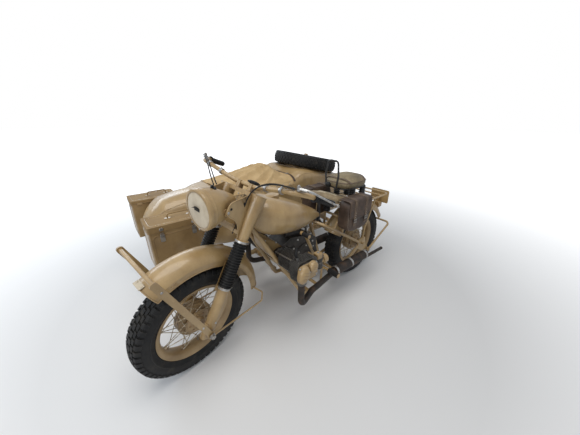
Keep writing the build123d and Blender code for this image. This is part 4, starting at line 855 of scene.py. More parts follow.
def guard_end(wheel_frame, crown, angle):
    foot = crown - GUARD_DROP - GUARD_SKIRT
    radius = (GUARD_HALF * GUARD_HALF + GUARD_DROP * GUARD_DROP) / (2 * GUARD_DROP)
    reach = asin(GUARD_HALF / radius)
    turns = [-reach + 2 * reach * step / 14 for step in range(15)]
    arch = [(crown - radius + radius * cos(turn), 0, radius * sin(turn)) for turn in turns]
    route = [(foot, 0, -GUARD_HALF), *arch, (foot, 0, GUARD_HALF)]
    spin = turned(angle, "Z")
    return tube([wheel_frame @ (spin @ Vector(spot)) for spot in route], 0.0034, 8)


for name, wheel_frame, crown, first, last, body in (
    ("front", front_axle, 0.435, -60, -178, "steering"),
    ("rear", rear_axle, 0.392, -28, -150, "motorcycle"),
    ("sidecar", sidecar_axle, 0.392, -22, -158, "motorcycle"),
):
    beads = Shape()
    for half in (0.0755, -0.0755):
        beads.add(guard_edge(wheel_frame, crown - 0.08, half, first, last))
    for angle in (first, last):
        beads.add(guard_end(wheel_frame, crown, angle))
    for hand in HANDS:
        for share in (0.12, 0.5, 0.88):
            for beside in (-1.3, 1.3):
                angle = radians(first + (last - first) * share + beside)
                spot = wheel_frame @ polar(crown - 0.066, angle, hand * 0.0762)
                beads.add(rivet(spot, wheel_frame.to_3x3() @ Vector((0, 0, hand))))
    beads.piece(f"{name}_guard_beads", desert_tan, body=body)

tip = Shape()
spin = front_axle @ turned(-60, "Z")
low = [(0.431, -0.022, -0.03), (0.431, -0.022, 0.03), (0.4385, 0.004, 0.03), (0.4385, 0.004, -0.03)]
plate = low + [(x + 0.0035, y - 0.001, z) for x, y, z in low]
box_faces = [(0, 3, 2, 1), (4, 5, 6, 7), (0, 1, 5, 4), (1, 2, 6, 5), (2, 3, 7, 6), (3, 0, 4, 7)]
tip.add((plate, box_faces), place=spin)
for hand in HANDS:
    tip.add(rivet(spin @ Vector((0.4368, -0.012, hand * 0.02)), spin.to_3x3() @ Vector((1, 0, 0))))
tip.piece("guard_tip_plate", cream, body="steering")

# Front stand: a flat bar bent to a U on the axle's ends, parked against the guard; its pins are bolted.
pins = Shape()
for hand in HANDS:
    for reach in (0.1, 0.47):
        spot = front_axle @ polar(reach, radians(-67), hand * 0.1642)
        pins.add(rivet(spot, front_axle.to_3x3() @ Vector((0, 0, hand)), 0.006))
pins.piece("stand_rivets", steel, body="front_stand_body")

# Engine: a flat twin. Dark, oily iron castings heat-stained round the heads; the barrels and heads carry
# thin round and square fins, with a carburettor on its own stub behind each head.
CYLINDER_LEAN = radians(5)
CRANK_HIGH, PORT = 0.54, 0.306
BARREL_FINS, HEAD_FINS = 14, 9
FIN_LINE = mm("31,-0.6 56,0 59.8,0.4 60,1.4 59.8,2.4 56,2.8 31,3.6")
PORT_SIDE, PORT_HIGH = PORT * cos(CYLINDER_LEAN), CRANK_HIGH + PORT * sin(CYLINDER_LEAN)
CARBURETTOR_LINE = "0.5,-54 12,-54 21,-50 23.5,-44 23.5,-12 26.2,-11 26.2,-6 22.5,-4 22.5,30 26.2,31 26.2,36 0.5,37"
FORWARD = Vector((1, 0, 0))


def up_the_bore(hand, reach):
    out = Vector((0, hand * cos(CYLINDER_LEAN), sin(CYLINDER_LEAN)))
    above = Vector((0, -hand * sin(CYLINDER_LEAN), cos(CYLINDER_LEAN)))
    turn = Matrix((FORWARD, above, out)).transposed().to_4x4()
    return Matrix.Translation(point(0.89, 0, CRANK_HIGH) + out * reach) @ turn


for hand, side in LEFT_RIGHT:
    barrel = Shape()
    bore = up_the_bore(hand, 0)
    aside = hand * PORT_SIDE
    barrel.add(spun("43,82.2 47,82.2 47,90 34,94 32,130 32,272 0.5,272", 40), place=bore)
    for fin in range(BARREL_FINS):
        barrel.add(hoop([(r, 0.141 + fin * 0.009 + h) for r, h in FIN_LINE], 48), place=bore)
    barrel.add(slab(rounded(0.104, 0.1, 0.022), 0.262, 0.344, 0.003), place=bore)
    for fin in range(HEAD_FINS):
        low = 0.271 + fin * 0.008
        barrel.add(slab(rounded(0.15, 0.132, 0.026), low, low + 0.0026, 0.0008), place=bore)
    for sx, sy in ((1, 1), (-1, 1), (1, -1), (-1, -1)):
        barrel.add(rod((sx * 0.04, sy * 0.04, 0.094), (sx * 0.04, sy * 0.04, 0.266), 0.0042, 8), 1, place=bore)
    barrel.add(tube([point(0.905, aside, 0.525), point(0.905, aside, 0.4905)], 0.026, 24))
    barrel.add(hoop("21.5,0 30,0 30,6 21.5,6", 28), 1, place=at(0.905, aside, 0.4925))
    stub = bent([point(x, aside, PORT_HIGH) for x in (0.85, 0.815, 0.76)], 0.01)
    barrel.add(tube(stub, 0.0205, 24))
    barrel.add(spun(CARBURETTOR_LINE, 30), place=at(0.768, aside, PORT_HIGH))
    trumpet = spun("18,-26 20.5,-26 22.2,-10 22.6,4 30,6 30,20 27,24 27,40 0.5,42", 30)
    barrel.add(trumpet, 2, place=aimed(point(0.752, aside, PORT_HIGH), -FORWARD))
    top = point(0.786, aside + hand * 0.006, PORT_HIGH + 0.03)
    barrel.add(slab(rounded(0.044, 0.04, 0.008), 0.0, 0.034, 0.003), 2, place=Matrix.Translation(top))
    barrel.add(hex_head(top + Vector((0, 0, 0.034)), UP, 0.012), 1)
    plug = point(0.93, aside - hand * 0.01, PORT_HIGH + 0.062)
    barrel.add(rod(plug, plug + Vector((0.01, 0, 0.03)), 0.0075, 12, tip=0.0055), 1)
    ends = ((0.008, 0, 0.024), (0.016, 0, 0.048), (-0.014, -hand * 0.03, 0.058))
    cap = bent([plug + Vector(end) for end in ends], 0.016)
    barrel.add(tube(cap, 0.0085, 12), 3)
    lead = [cap[-1], plug + Vector((-0.045, -hand * 0.085, 0.04))]
    lead += [point(0.88, hand * 0.165, 0.625), point(0.85, hand * 0.092, 0.604)]
    barrel.add(tube(bent(lead, 0.05, 8), 0.0035, 8), 3)
    for x in (-0.02, 0.02):
        barrel.add(tube([bore @ Vector((x, -0.048, 0.086)), bore @ Vector((x, -0.053, 0.272))], 0.007, 12), 2)
    barrel.piece(
        f"{side}_finned_barrel", fin_alloy, steel, desert_tan, bellows_rubber,
        instead_of=f"{side}_cylinder", slot="fin_alloy",
    )

# Rocker covers: one light casting a side with two lobes, a tall one over the front valve and a smaller
# one over the rear, ribbed on top and held by a domed nut in the saddle between them.
LOBE_RISE = ((0.0, 1.0), (0.3, 0.985), (0.56, 0.94), (0.76, 0.85), (0.9, 0.7), (0.975, 0.48), (1.0, 0.22))
# Lobes: middle, half width, half height and depth
LOBES = (((0.05, 0.002), 0.037, 0.054, 0.034), ((-0.022, 0.024), 0.033, 0.034, 0.03))
RIBS = (-2, -1, 0, 1, 2)
LOBE_FOOT = 0.006
LOBE_TILT = radians(20)


def on_lobe(middle, x, y):
    c, s = cos(LOBE_TILT), sin(LOBE_TILT)
    return middle[0] + x * c - y * s, middle[1] + x * s + y * c


def lobe(middle, wide, high, depth):
    rows = []
    for rise, grow in LOBE_RISE:
        edge = [polar(grow, tau * step / 36) for step in range(36)]
        rows.append([(*on_lobe(middle, wide * x, high * y), LOBE_FOOT + depth * rise) for x, y, z in edge])
    return loft(rows)


for hand, side in LEFT_RIGHT:
    cover = Shape()
    face = up_the_bore(hand, 0.342)
    out = face.to_3x3() @ Vector(UP)
    cover.add(slab(rounded(0.142, 0.1, 0.026, cx=0.008), 0.0003, 0.01, 0.0015, middle=(0.008, 0)), place=face)
    for middle, wide, high, depth in LOBES:
        cover.add(lobe(middle, wide, high, depth), place=face)
        for count in RIBS:
            along = count * high / 2.9
            reach = wide * sqrt(max(0.0, 1 - (along / high) ** 2)) * 0.93
            route = []
            for step in range(9):
                across = -reach + 2 * reach * step / 8
                near = min(1.0, hypot(across / wide, along / high))
                rise = LOBE_FOOT + depth * sqrt(max(0.0, 1 - near**3.0)) ** 0.9
                route.append(face @ Vector((*on_lobe(middle, across, along), rise)))
            cover.add(tube(route, 0.0022, 6))
    cover.add(hex_head(face @ Vector((0.012, 0.004, 0.01)), out, 0.016, 0.014), 1)
    for x, y in ((-0.052, -0.036), (0.07, -0.04), (-0.052, 0.04), (0.07, 0.042)):
        cover.add(hex_head(face @ Vector((x, y, 0.01)), out, 0.01), 1)
    cover.piece(
        f"{side}_ribbed_cover", desert_tan, steel, instead_of=f"{side}_rocker_cover", slot="tan_paint", sharp=40
    )

# Engine details: cover bolts, the oil filler and the gear pedal in steel; a boss on each side and the
# generator in the case's dark iron.
CASE_BOLTS = "580,350 590,450 600,545 660,585 740,600 775,545 760,460 755,375 720,310 640,306"
COVER_SCREWS = "985,668 966,605 925,535 892,480 868,452 905,630 800,430"
HUB_X, HUB_Z = 0.668, 0.44
case, screws = Shape(), Shape()
for x, z in mm(CASE_BOLTS):
    for hand in HANDS:
        case.add(hex_head(point(x, hand * 0.0785, z), (0, hand, 0), 0.011))
for count in range(8):
    spot = polar(0.096, tau * count / 8)
    for hand in HANDS:
        case.add(hex_head(point(HUB_X + spot.x, hand * 0.0865, HUB_Z + spot.y), (0, hand, 0), 0.01, 0.005))
case.add(spun("0.5,0 46,0 46,5 40,8 20,10 20,16 0.5,17", 36), 1, place=aimed(point(HUB_X, 0.0862, HUB_Z), (0, 1, 0)))
case.add(spun("0.5,0 46,0 46,5 40,8 0.5,10", 36), 1, place=aimed(point(HUB_X, -0.0862, HUB_Z), (0, -1, 0)))
case.add(spun("0.5,0 20,0 20,10 0.5,12", 8), place=aimed(point(0.615, 0.055, 0.598), (-0.1, 0, 1)))
generator = spun("0.5,-70 44,-70 48,-64 48,64 44,70 0.5,70", 40)
case.add(generator, 1, place=aimed(point(0.745, 0, 0.628), (1, 0, 0.16)))
pedal = bent([point(0.64, 0.1, 0.4), point(0.61, 0.118, 0.372), point(0.565, 0.118, 0.375)], 0.01)
case.add(tube(pedal, 0.0055, 8))
case.piece("case_fittings", steel, oily_iron)
for x, z in mm(COVER_SCREWS):
    for hand in HANDS:
        screws.add(rivet(point(x, hand * 0.0602, z), (0, hand, 0), 0.0055))
screws.piece("front_cover_screws", steel)

# Exhaust trim: finned clamp rings at the ports and pinched bands round the silencers.
trim = Shape()
for hand in HANDS:
    for step in range(3):
        trim.add(hoop("20,0 29,1 29,2.4 20,3.4", 28), place=at(0.905, hand * PORT_SIDE, 0.466 + step * 0.007))
    for x in (0.47, 0.3, 0.112):
        trim.add(hoop("36.1,-8 37.5,-8 37.5,8 36.1,8", 32), place=aimed(point(x, hand * 0.205, 0.3), FORWARD))
        trim.add(hex_head(point(x, hand * 0.205, 0.338), UP, 0.009, 0.008))
trim.piece("exhaust_bands", steel)

# Fuel tank trim: a knurled screw cap in its ring, and the fuel tap with its bowl and its two pipes.
cap = Shape()
neck = at(0.9, 0, 0.905)
cap.add(hoop("38.5,-10 42,-6 42,1 38.5,4", 48), place=neck)
points, faces = spun("0.5,24 20,23.5 31,20.5 35,17 35,4 33,2 0.5,2", 48)
ribbed = []
for x, y, z in points:
    grow = 1 + (0.018 * cos(24 * atan2(y, x)) if hypot(x, y) > 0.034 else 0)
    ribbed.append((x * grow, y * grow, z))
cap.add((ribbed, faces), place=neck)
tap = 0.64, 0.055
cap.add(rod(point(*tap, 0.684), point(*tap, 0.655), 0.0065, 12), 1)
cap.add(rod(point(*tap, 0.668), point(0.64, 0.078, 0.668), 0.0045, 8), 1)
cap.add(spun("0.5,-16 11,-16 13,-12 13,12 11,14 0.5,14", 16), 1, place=at(*tap, 0.643))
for hand in HANDS:
    hose = [(*tap, 0.65), (0.68, 0.09 * hand, 0.64), (0.735, 0.21 * hand, 0.6), (0.764, 0.296 * hand, 0.588)]
    cap.add(tube(bent([point(*spot) for spot in hose], 0.05, 8), 0.0038, 8), 2)
cap.piece("filler_and_tap", desert_tan, steel, bellows_rubber)


def squircle(angle, power):
    """A place on a unit circle that is drawn out towards a square."""
    c, s = cos(angle), sin(angle)
    reach = (abs(c) ** power + abs(s) ** power) ** (-1 / power)
    return c * reach, s * reach


# Saddle: thick tan hide stretched over a sprung steel pan, nose up, with a diamond patch sewn on top whose
# paler colour is painted sunlight, a line of stitches along each rolled edge and studs into the pan.
saddle_frame = at(0.222, 0, 0.742) @ turned(-15, "Y")
# Share of the length from the cantle to the nose, and half the width there
SADDLE_HALF = (
    (0.0, 0.052), (0.03, 0.088), (0.09, 0.118), (0.18, 0.131), (0.3, 0.127), (0.44, 0.11), (0.58, 0.086),
    (0.72, 0.061), (0.84, 0.045), (0.93, 0.036), (0.98, 0.025), (1.0, 0.01),
)
# Corners of the diamond whose paler hide is painted sunlight: share of the length, share of the half width.
PATCH = ((0.16, 0.0), (0.47, 0.8), (0.8, 0.0), (0.47, -0.8))
SADDLE_ROWS, SADDLE_COLUMNS, PATCH_GRID = 44, 28, 14


def saddle_half(u):
    for (a, wa), (b, wb) in zip(SADDLE_HALF, SADDLE_HALF[1:]):
        if u <= b:
            share = (u - a) / (b - a)
            return wa + (wb - wa) * (share * share * (3 - 2 * share))
    return SADDLE_HALF[-1][1]


def saddle_ahead(u):
    return 0.006 + 0.386 * u


def saddle_top(u, v):
    """The hide's height over the pan: dished in the middle, rolled over at its edges."""
    dish = 0.008 * sin(pi * min(1.0, u / 0.55)) * (1 - v * v)
    edge = abs(v) ** 5 * 0.021
    end = 0.015 * max(0.0, (0.1 - u) / 0.1) ** 2 + 0.02 * max(0.0, (u - 0.93) / 0.07) ** 2
    wrinkle = 0.0012 * noise.noise(Vector((u * 9, v * 3, 1.7)))
    crown = 0.05 + 0.004 * cos(pi * (u - 0.5)) - dish
    return Vector((saddle_ahead(u), v * saddle_half(u), crown - edge - end + wrinkle))


def saddle_row(u):
    ahead, half = saddle_ahead(u), saddle_half(u)
    under = [(ahead, half * tuck, rise) for rise, tuck in ((0.018, 1.0), (0.004, 0.985), (-0.001, 0.93))]
    top = [saddle_top(u, -1 + 2 * column / SADDLE_COLUMNS) for column in range(SADDLE_COLUMNS + 1)]
    return top + under + [(ahead, 0.0, 0.003)] + [(x, -y, z) for x, y, z in under[::-1]]


def patch_spot(a, b):
    shares = (1 - a) * (1 - b), a * (1 - b), a * b, (1 - a) * b
    u, v = [sum(share * corner[k] for share, corner in zip(shares, PATCH)) for k in (0, 1)]
    return saddle_top(u, v) + Vector((0, 0, 0.0022 if min(a, b, 1 - a, 1 - b) > 0.01 else 0.0002))


def stitch(a, b, lift):
    ends = [saddle_top(*spot) + Vector((0, 0, lift)) for spot in (a, b)]
    stitches.add(rod(*ends, 0.0007, 5), place=saddle_frame)


saddle, patch, stitches, studs = Shape(), Shape(), Shape(), Shape()
saddle.add(loft([saddle_row(row / SADDLE_ROWS) for row in range(SADDLE_ROWS + 1)]), place=saddle_frame)
made = saddle.piece("hide_saddle", saddle_hide, instead_of="saddle", slot="seat_cloth", sharp=60)
steps = [step / PATCH_GRID for step in range(PATCH_GRID + 1)]
# The diamond's paler hide is painted sunlight; the patch itself is raised a little and stitched round.
patch.add(loft([[patch_spot(a, b) for b in steps] for a in steps], False, False, True), place=saddle_frame)
patch.piece("painted_sunlight_diamond", painted_sunlight_hide, sharp=60)
for (u0, v0), (u1, v1) in zip(PATCH, PATCH[1:] + PATCH[:1]):
    for step in range(22):
        shares = (step + 0.25) / 22, (step + 0.8) / 22
        ends = [(u0 + (u1 - u0) * share * 0.97 + 0.0048, (v0 + (v1 - v0) * share) * 0.955) for share in shares]
        stitch(*ends, 0.0026)
for hand in HANDS:
    for step in range(60):
        stitch((0.03 + 0.93 * step / 60, hand * 0.9), (0.03 + 0.93 * (step + 0.55) / 60, hand * 0.9), 0.0004)
    for share in (0.06, 0.22, 0.4, 0.58, 0.76):
        spot = saddle_frame @ Vector((saddle_ahead(share), hand * saddle_half(share), 0.012))
        studs.add(rivet(spot, (0, hand, 0)))
stitches.piece("saddle_stitches", thread)
studs.piece("saddle_studs", steel)


# Springs: hard-drawn wire coils round guide tubes, black enamel rubbed to bright metal on the turns.
def coil(foot, height, radius, wire, turns):
    route = []
    count = int(turns * 16)
    for step in range(count + 1):
        share = step / count
        eased = min(1.0, max(0.0, (share - 0.06) / 0.88))
        route.append(foot + polar(radius, tau * turns * share, wire + (height - 2 * wire) * eased))
    return tube(route, wire, 8)


coils = Shape()
for hand in HANDS:
    coils.add(coil(point(0.29, hand * 0.078, 0.652), 0.098, 0.0265, 0.0036, 6.5))
    for x in (0.06, 0.19):
        coils.add(coil(point(x, hand * 0.074, 0.748), 0.108, 0.0235, 0.0034, 7.5))
coils.piece("coil_springs", black_enamel)

# Pillion seat: a squat round-cornered cushion of olive-tan hide over horsehair on a pan, with two curved
# straps stitched across it and a roll along its edge.
CUSHION_POWER, CUSHION_SIDES, CUSHION_RINGS, WELT = 3.2, 72, 12, 0.965
PILLION_X, PILLION_HALF = 0.182, (0.146, 0.123)


def cushion(middle, half_x, half_y, roll, high, channel=None):
    """A stuffed pad: crowned on top, its wall bulging over a sewn roll, flat below."""
    def outline(grow):
        spots = [squircle(tau * side / CUSHION_SIDES, CUSHION_POWER) for side in range(CUSHION_SIDES)]
        return [(x * half_x * grow, y * half_y * grow) for x, y in spots]

    wall = [(0.0, 0.02), (0.0, 0.9), (0.002, 0.955)]
    wall += [(roll * rise, grow) for rise, grow in ((0.35, 0.992), (0.62, 1.0), (0.86, 0.992), (1, WELT))]
    rows = [[(x, y, height) for x, y in outline(grow)] for height, grow in wall]
    for ring in range(1, CUSHION_RINGS + 1):
        grow = WELT * (1 - ring / (CUSHION_RINGS + 0.4))
        row = []
        for x, y in outline(grow):
            height = roll + (high - roll) * (1 - (grow / WELT) ** 3.0) - (channel(y) if channel else 0)
            row.append((x, y, height + 0.0018 * noise.noise(Vector((x * 16, y * 16, middle.z * 3)))))
        rows.append(row)
    return loft([[middle + Vector(spot) for spot in row] for row in rows])


def sewn_dip(y):
    return 0.004 * (exp(-(((y - 0.058) / 0.005) ** 2)) + exp(-(((y + 0.058) / 0.005) ** 2)))


pillion, piping, straps = Shape(), Shape(), Shape()
pillion.add(cushion(point(PILLION_X, 0, 0.8722), *PILLION_HALF, 0.04, 0.086, sewn_dip))
made = pillion.piece("pillion_cushion", pillion_hide, instead_of="pillion_seat", slot="seat_cloth", sharp=60)
turns = [squircle(tau * step / 72, CUSHION_POWER) for step in range(72)]
route = [point(PILLION_X + x * 0.1425, y * 0.12, 0.9115) for x, y in turns]
piping.add(tube(route + route[:1], 0.004, 8))
piping.piece("pillion_piping", strap_hide)
for x, bow in ((0.105, -0.03), (0.262, 0.03)):
    route, ups = [], []
    for step in range(25):
        y = -0.122 + 0.244 * step / 24
        ahead = x + bow * (1 - (y / 0.122) ** 2)
        shares = abs(ahead - PILLION_X) / PILLION_HALF[0], abs(y) / PILLION_HALF[1]
        near = sum(share**CUSHION_POWER for share in shares) ** (1 / CUSHION_POWER)
        route.append(point(ahead, y, 0.913 + 0.046 * (1 - min(1.0, near / WELT) ** 3.0)))
        ups.append(Vector((0, y * 1.5, 1)))
    straps.add(strap(route, ups, 0.024))
straps.piece("pillion_straps", strap_hide)

# Panniers: a dark hide bag on each side of the rack, with a flap folded over its top, two straps buckled
# down its face and a seam of stitches round its foot. Wall: depth, and share of the full outline.
BAG_WIDE, BAG_HIGH, BAG_SIDES, BAG_FACE = 0.252, 0.232, 64, 0.0945
BAG_WALL = (
    (0.0, 0.9), (0.002, 0.955), (0.01, 0.985), (0.03, 1.0), (0.058, 0.997), (0.08, 0.982), (0.09, 0.955),
    (BAG_FACE, 0.9),
)
# The straps' way down the bag: out and up
STRAP_WAY = mm("2,119.5 50,121 90,119.5 98.5,115 102.5,106 104,40 104.5,-20 103,-70")
FLAP_COLUMNS, FLAP_ROWS, FLAP_TOP = 20, 16, 0.1165


def bag_outline(share, wide, high):
    """The bag's edge as it is seen from the side, sagging at its foot."""
    x, z = squircle(tau * share, 4.5)
    x, z = x * wide / 2, z * high / 2
    if z < 0:
        z *= 1 + 0.05 * cos(pi * x / wide)
        x *= 1 - 0.05 * z / high
    return x, z


def on_bag(hand, x, out, z):
    return point(0.3 + x, hand * (0.1426 + out), 0.722 + z)


def bag_rows(hand):
    edge = [bag_outline(step / BAG_SIDES, BAG_WIDE, BAG_HIGH) for step in range(BAG_SIDES)]
    for depth, grow in BAG_WALL:
        row = []
        for x, z in edge:
            size = grow * (1 + 0.012 * noise.noise(Vector((x * 20, z * 20, depth * 60 + hand))))
            row.append(on_bag(hand, x * size, depth, z * size))
        yield row
    for ring in range(1, 9):
        grow = 0.9 * (1 - ring / 8.3)
        row = []
        for x, z in edge:
            slack = 0.002 * noise.noise(Vector((x * 30 * grow, z * 30 * grow, 2.0 + hand)))
            bulge = BAG_FACE + 0.0035 * (1 - (grow / 0.9) ** 2) + slack
            row.append(on_bag(hand, x * grow, min(bulge, 0.0995), z * grow))
        yield row


def flap_spot(hand, u, share):
    x = u * 0.125 * (1 - 0.02 * share)
    drop = share * (0.235 - 0.028 * abs(u) ** 2.5)
    down = drop - 0.095
    out, z = 0.004 + drop, FLAP_TOP - 0.004 * abs(u) ** 4
    if down >= 0:
        out, z = 0.0985 + 0.0025 * sin(down * 18), FLAP_TOP - down
    fold = (1 - min(1.0, abs(down) / 0.012)) * 0.0035
    slack = 0.0012 * noise.noise(Vector((x * 24, drop * 24, 5.0 + hand)))
    return on_bag(hand, x, out - fold + slack, z - fold)


for hand, side in LEFT_RIGHT:
    bag, flap, straps, sewing = Shape(), Shape(), Shape(), Shape()
    bag.add(loft(list(bag_rows(hand)), flip=True))
    bag.piece(f"{side}_saddlebag", dark_hide, instead_of=f"{side}_pannier", slot="bag_leather", sharp=60)
    across = [-1 + 2 * column / FLAP_COLUMNS for column in range(FLAP_COLUMNS + 1)]
    rows = [[flap_spot(hand, u, row / FLAP_ROWS) for u in across] for row in range(FLAP_ROWS + 1)]
    flap.add(loft(rows, round_off=False, ends=False))
    thick = flap.piece(f"{side}_bag_flap", dark_hide, sharp=60).modifiers.new("thickness", "SOLIDIFY")
    thick.thickness = 0.0028
    thick.offset = float(hand)
    ups = [Vector((0, hand * 0.2, 1.0))] * 3 + [Vector((0, hand, 1))] + [Vector((0, hand, 0.1))] * 4
    for x in (-0.062, 0.062):
        straps.add(strap([on_bag(hand, x, *spot) for spot in STRAP_WAY], ups, 0.022))
        straps.add(buckle(on_bag(hand, x, 0.104, -0.03), UP, (0, hand, 0), 0.022), 1)
        for step in range(3):
            straps.add(rivet(on_bag(hand, x, 0.1072, -0.005 + step * 0.016), (0, hand, 0), 0.0022), 1)
    straps.piece(f"{side}_bag_straps", strap_hide, steel)
    for step in range(120):
        (x, z), (far_x, far_z) = [bag_outline(share / 120, 0.24, 0.22) for share in (step, step + 0.55)]
        if z < 0.02:
            sewing.add(rod(on_bag(hand, x, 0.0925, z), on_bag(hand, far_x, 0.0925, far_z), 0.0008, 5))
    sewing.piece(f"{side}_bag_stitches", thread)

# Sidecar tub: six steel pressings butt-welded and dressed to one bulbous shell, open at the cockpit and
# under the boot lid. Stations: forward, half width, floor, roof, corner radius, in millimetres.
TUB = mm(
    "1500,28,510,575,27 1498,60,475,610,55 1492,82,448,642,76 1482,102,425,672,92 1450,134,396,724,114 "
    "1400,158,380,772,130 1350,170,374,803,138 1165,170,372,830,138 1060,241,372,833,128 900,288,372,836,112 "
    "600,297,372,846,103 300,298,372,862,95 200,298,372,898,84 -430,262,372,758,56 -520,238,386,722,72 "
    "-560,226,402,690,80 -585,206,420,668,78 -600,190,440,650,74"
)
TUB_WALL = 0.003
steps = [[(b[k] - a[k]) / (a[0] - b[0]) for k in range(5)] for a, b in zip(TUB, TUB[1:])]
between = [[2 * s * t / (s + t) if s * t > 0 else 0.0 for s, t in zip(*pair)] for pair in zip(steps, steps[1:])]
TUB_SLOPES = [steps[0], *between, steps[-1]]


def tub_section(x, inset=0.0):
    """Half width, floor, roof and corner radius of the tub at a station, eased between the pressings."""
    row = next(k for k in range(len(TUB) - 1) if x >= TUB[k + 1][0])
    a, b = TUB[row], TUB[row + 1]
    span = a[0] - b[0]
    t = (a[0] - x) / span
    ease, leave, reach = 3 * t**2 - 2 * t**3, (t**3 - 2 * t**2 + t) * span, (t**3 - t**2) * span
    half, low, high, corner = [
        (1 - ease) * a[k] + ease * b[k] + leave * TUB_SLOPES[row][k] + reach * TUB_SLOPES[row + 1][k]
        for k in range(1, 5)
    ]
    corner = min(corner, half - 0.001, (high - low) / 2 - 0.001)
    return half - inset, low + inset, high - inset, max(corner - inset, 0.004)


def tub_ring(x, inset=0.0):
    half, low, high, corner = tub_section(x, inset)
    arcs = rounded(2 * half, high - low, corner, 10)
    ring = []
    for first in range(0, 44, 11):
        (ya, za), (yb, zb) = arcs[first + 10], arcs[(first + 11) % 44]
        ring += arcs[first:first + 11]
        ring += [(ya + (yb - ya) * share / 5, za + (zb - za) * share / 5) for share in range(1, 5)]
    return [point(x, SIDECAR + y, (low + high) / 2 + z) for y, z in ring]


def tub_shell(inset):
    nose, tail = 1.5 - inset, -0.6 + inset
    stations = [nose, 1.4995, 1.498, 1.495, 1.492, 1.487, 1.482, 1.472, 1.461, 1.45, 1.434, 1.417, 1.4, 1.375]
    for first, gap, count in ((1.35, 0.0231, 8), (1.165, 0.015, 18), (0.89, 0.059, 10), (0.3, 0.025, 5)):
        stations += [first - gap * step for step in range(count)]
    stations += [0.16] + [0.1 - 0.0757 * step for step in range(7)]
    stations += [-0.43, -0.46, -0.49, -0.52, -0.54, -0.56, -0.572, -0.585, -0.593, tail]
    return loft([tub_ring(x, inset) for x in stations if tail <= x <= nose], flip=True)


def cut_through(target, outline, low):
    """Saw an opening straight down through a shell, and keep the result as plain mesh."""
    mesh = bpy.data.meshes.new("saw")
    points, faces = placed(at(0, SIDECAR, 0), slab(outline, low, 1.0))
    mesh.from_pydata(points, [], faces)
    blade = bpy.data.objects.new("saw", mesh)
    bpy.context.collection.objects.link(blade)
    cut = target.modifiers.new("opening", "BOOLEAN")
    cut.operation = "DIFFERENCE"
    cut.solver = "EXACT"
    cut.object = blade
    graph = bpy.context.evaluated_depsgraph_get()
    result = bpy.data.meshes.new_from_object(target.evaluated_get(graph))
    target.modifiers.clear()
    target.data = result
    bpy.data.objects.remove(blade)


inner_points, inner_faces = tub_shell(TUB_WALL)
points, faces = both(tub_shell(0.0), (inner_points, [face[::-1] for face in inner_faces]))
mesh = bpy.data.meshes.new("sidecar_tub")
mesh.from_pydata(points, [], faces)
tub_piece = bpy.data.objects.new("sidecar_tub", mesh)
bpy.context.collection.objects.link(tub_piece)
cut_through(tub_piece, rounded(0.63, 0.39, 0.11, 8, cx=0.645), 0.7)
cut_through(tub_piece, rounded(0.58, 0.376, 0.04, 6, cx=-0.11), 0.69)
tub_piece.data.materials.append(desert_tan)
tub_piece.data.shade_smooth()
tub_piece.data.set_sharp_from_angle(angle=radians(30))
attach(tub_piece, "motorcycle")
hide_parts(*[f"sidecar_{part}" for part in ("nose", "left_side", "right_side", "floor", "deck", "tail")])

# The boot lid's hinge knuckles on the tail, and the dressed weld seams between the pressings.
DECK_LEAN = 12.5
deck_frame = at(-0.414, SIDECAR, 0.898 - 0.614 * tan(radians(DECK_LEAN))) @ turned(-DECK_LEAN, "Y")
knuckles, welds = Shape(), Shape()
for hand in HANDS:
    leaf = deck_frame @ shift(0, hand * 0.06, 0)
    knuckles.add(rod((-0.008, -0.025, 0.0078), (-0.008, 0.025, 0.0078), 0.007, 16), place=leaf)
    plate = slab(rounded(0.03, 0.05, 0.006), 0.0002, 0.0028, 0.0006)
    knuckles.add(plate, place=leaf @ shift(-0.026, 0, 0))
    for aside in (-0.014, 0.014):
        knuckles.add(rivet(leaf @ Vector((-0.032, aside, 0.0028)), leaf.to_3x3() @ Vector(UP), 0.004))
knuckles.piece("lid_hinge_knuckles", desert_tan)
for x, opening in ((0.85, 0.2), (-0.36, 0.205)):
    ring = tub_ring(x)
    run = []
    for spot in ring + ring[:1] + [None]:
        if spot and (abs(spot.y - point(0, SIDECAR, 0).y) > opening or spot.z < 0.7):
            run.append(spot)
            continue
        if len(run) > 1:
            welds.add(tube(run, 0.0022, 6))
        run = []
SEAM = radians(38)
for hand in HANDS:
    run = []
    for step in range(60):
        x = 1.44 - 1.96 * step / 59
        half, low, high, corner = tub_section(x)
        y = half - corner + corner * cos(SEAM)
        run.append(point(x, SIDECAR + hand * y, high - corner + corner * sin(SEAM)))
    welds.add(tube(run, 0.0024, 6))
welds.piece("tub_weld_seams", desert_tan)

# Canvas cover: proofed duck drawn over the cockpit and laced along its hem, peaked over the back of the
# seat. Its folds fan forward from the peak. It is shaped by moves of a grid, not simulated.
HEM = 0.794
COVER_REAR, COVER_LENGTH = 0.32, 0.652
COVER_ROWS, COVER_COLUMNS = 84, 72
RIDGE = mm("318,867 440,944 560,930 800,878 985,840")
# Folds that fan forward: bearing in degrees, rise, spread in degrees
FOLDS = (
    (-52, 0.012, 3.0), (-36, 0.017, 2.4), (-22, 0.013, 1.8), (-9, 0.018, 2.0), (3, 0.011, 1.5), (13, 0.02, 2.0),
    (25, 0.014, 1.8), (37, 0.019, 2.4), (52, 0.013, 3.0),
)


def tub_outline(x, y):
    """The tub's top and outward direction at a station and a distance from its middle."""
    half, low, high, corner = tub_section(x)
    beyond = max(0.0, abs(y) - (half - corner))
    up = sqrt(max(0.0, corner**2 - beyond**2))
    return high - corner + up, Vector((0, copysign(beyond, y), up)).normalized()


def tub_side(x, z):
    half, low, high, corner = tub_section(x)
    return half - corner + sqrt(corner**2 - (z - high + corner) ** 2)


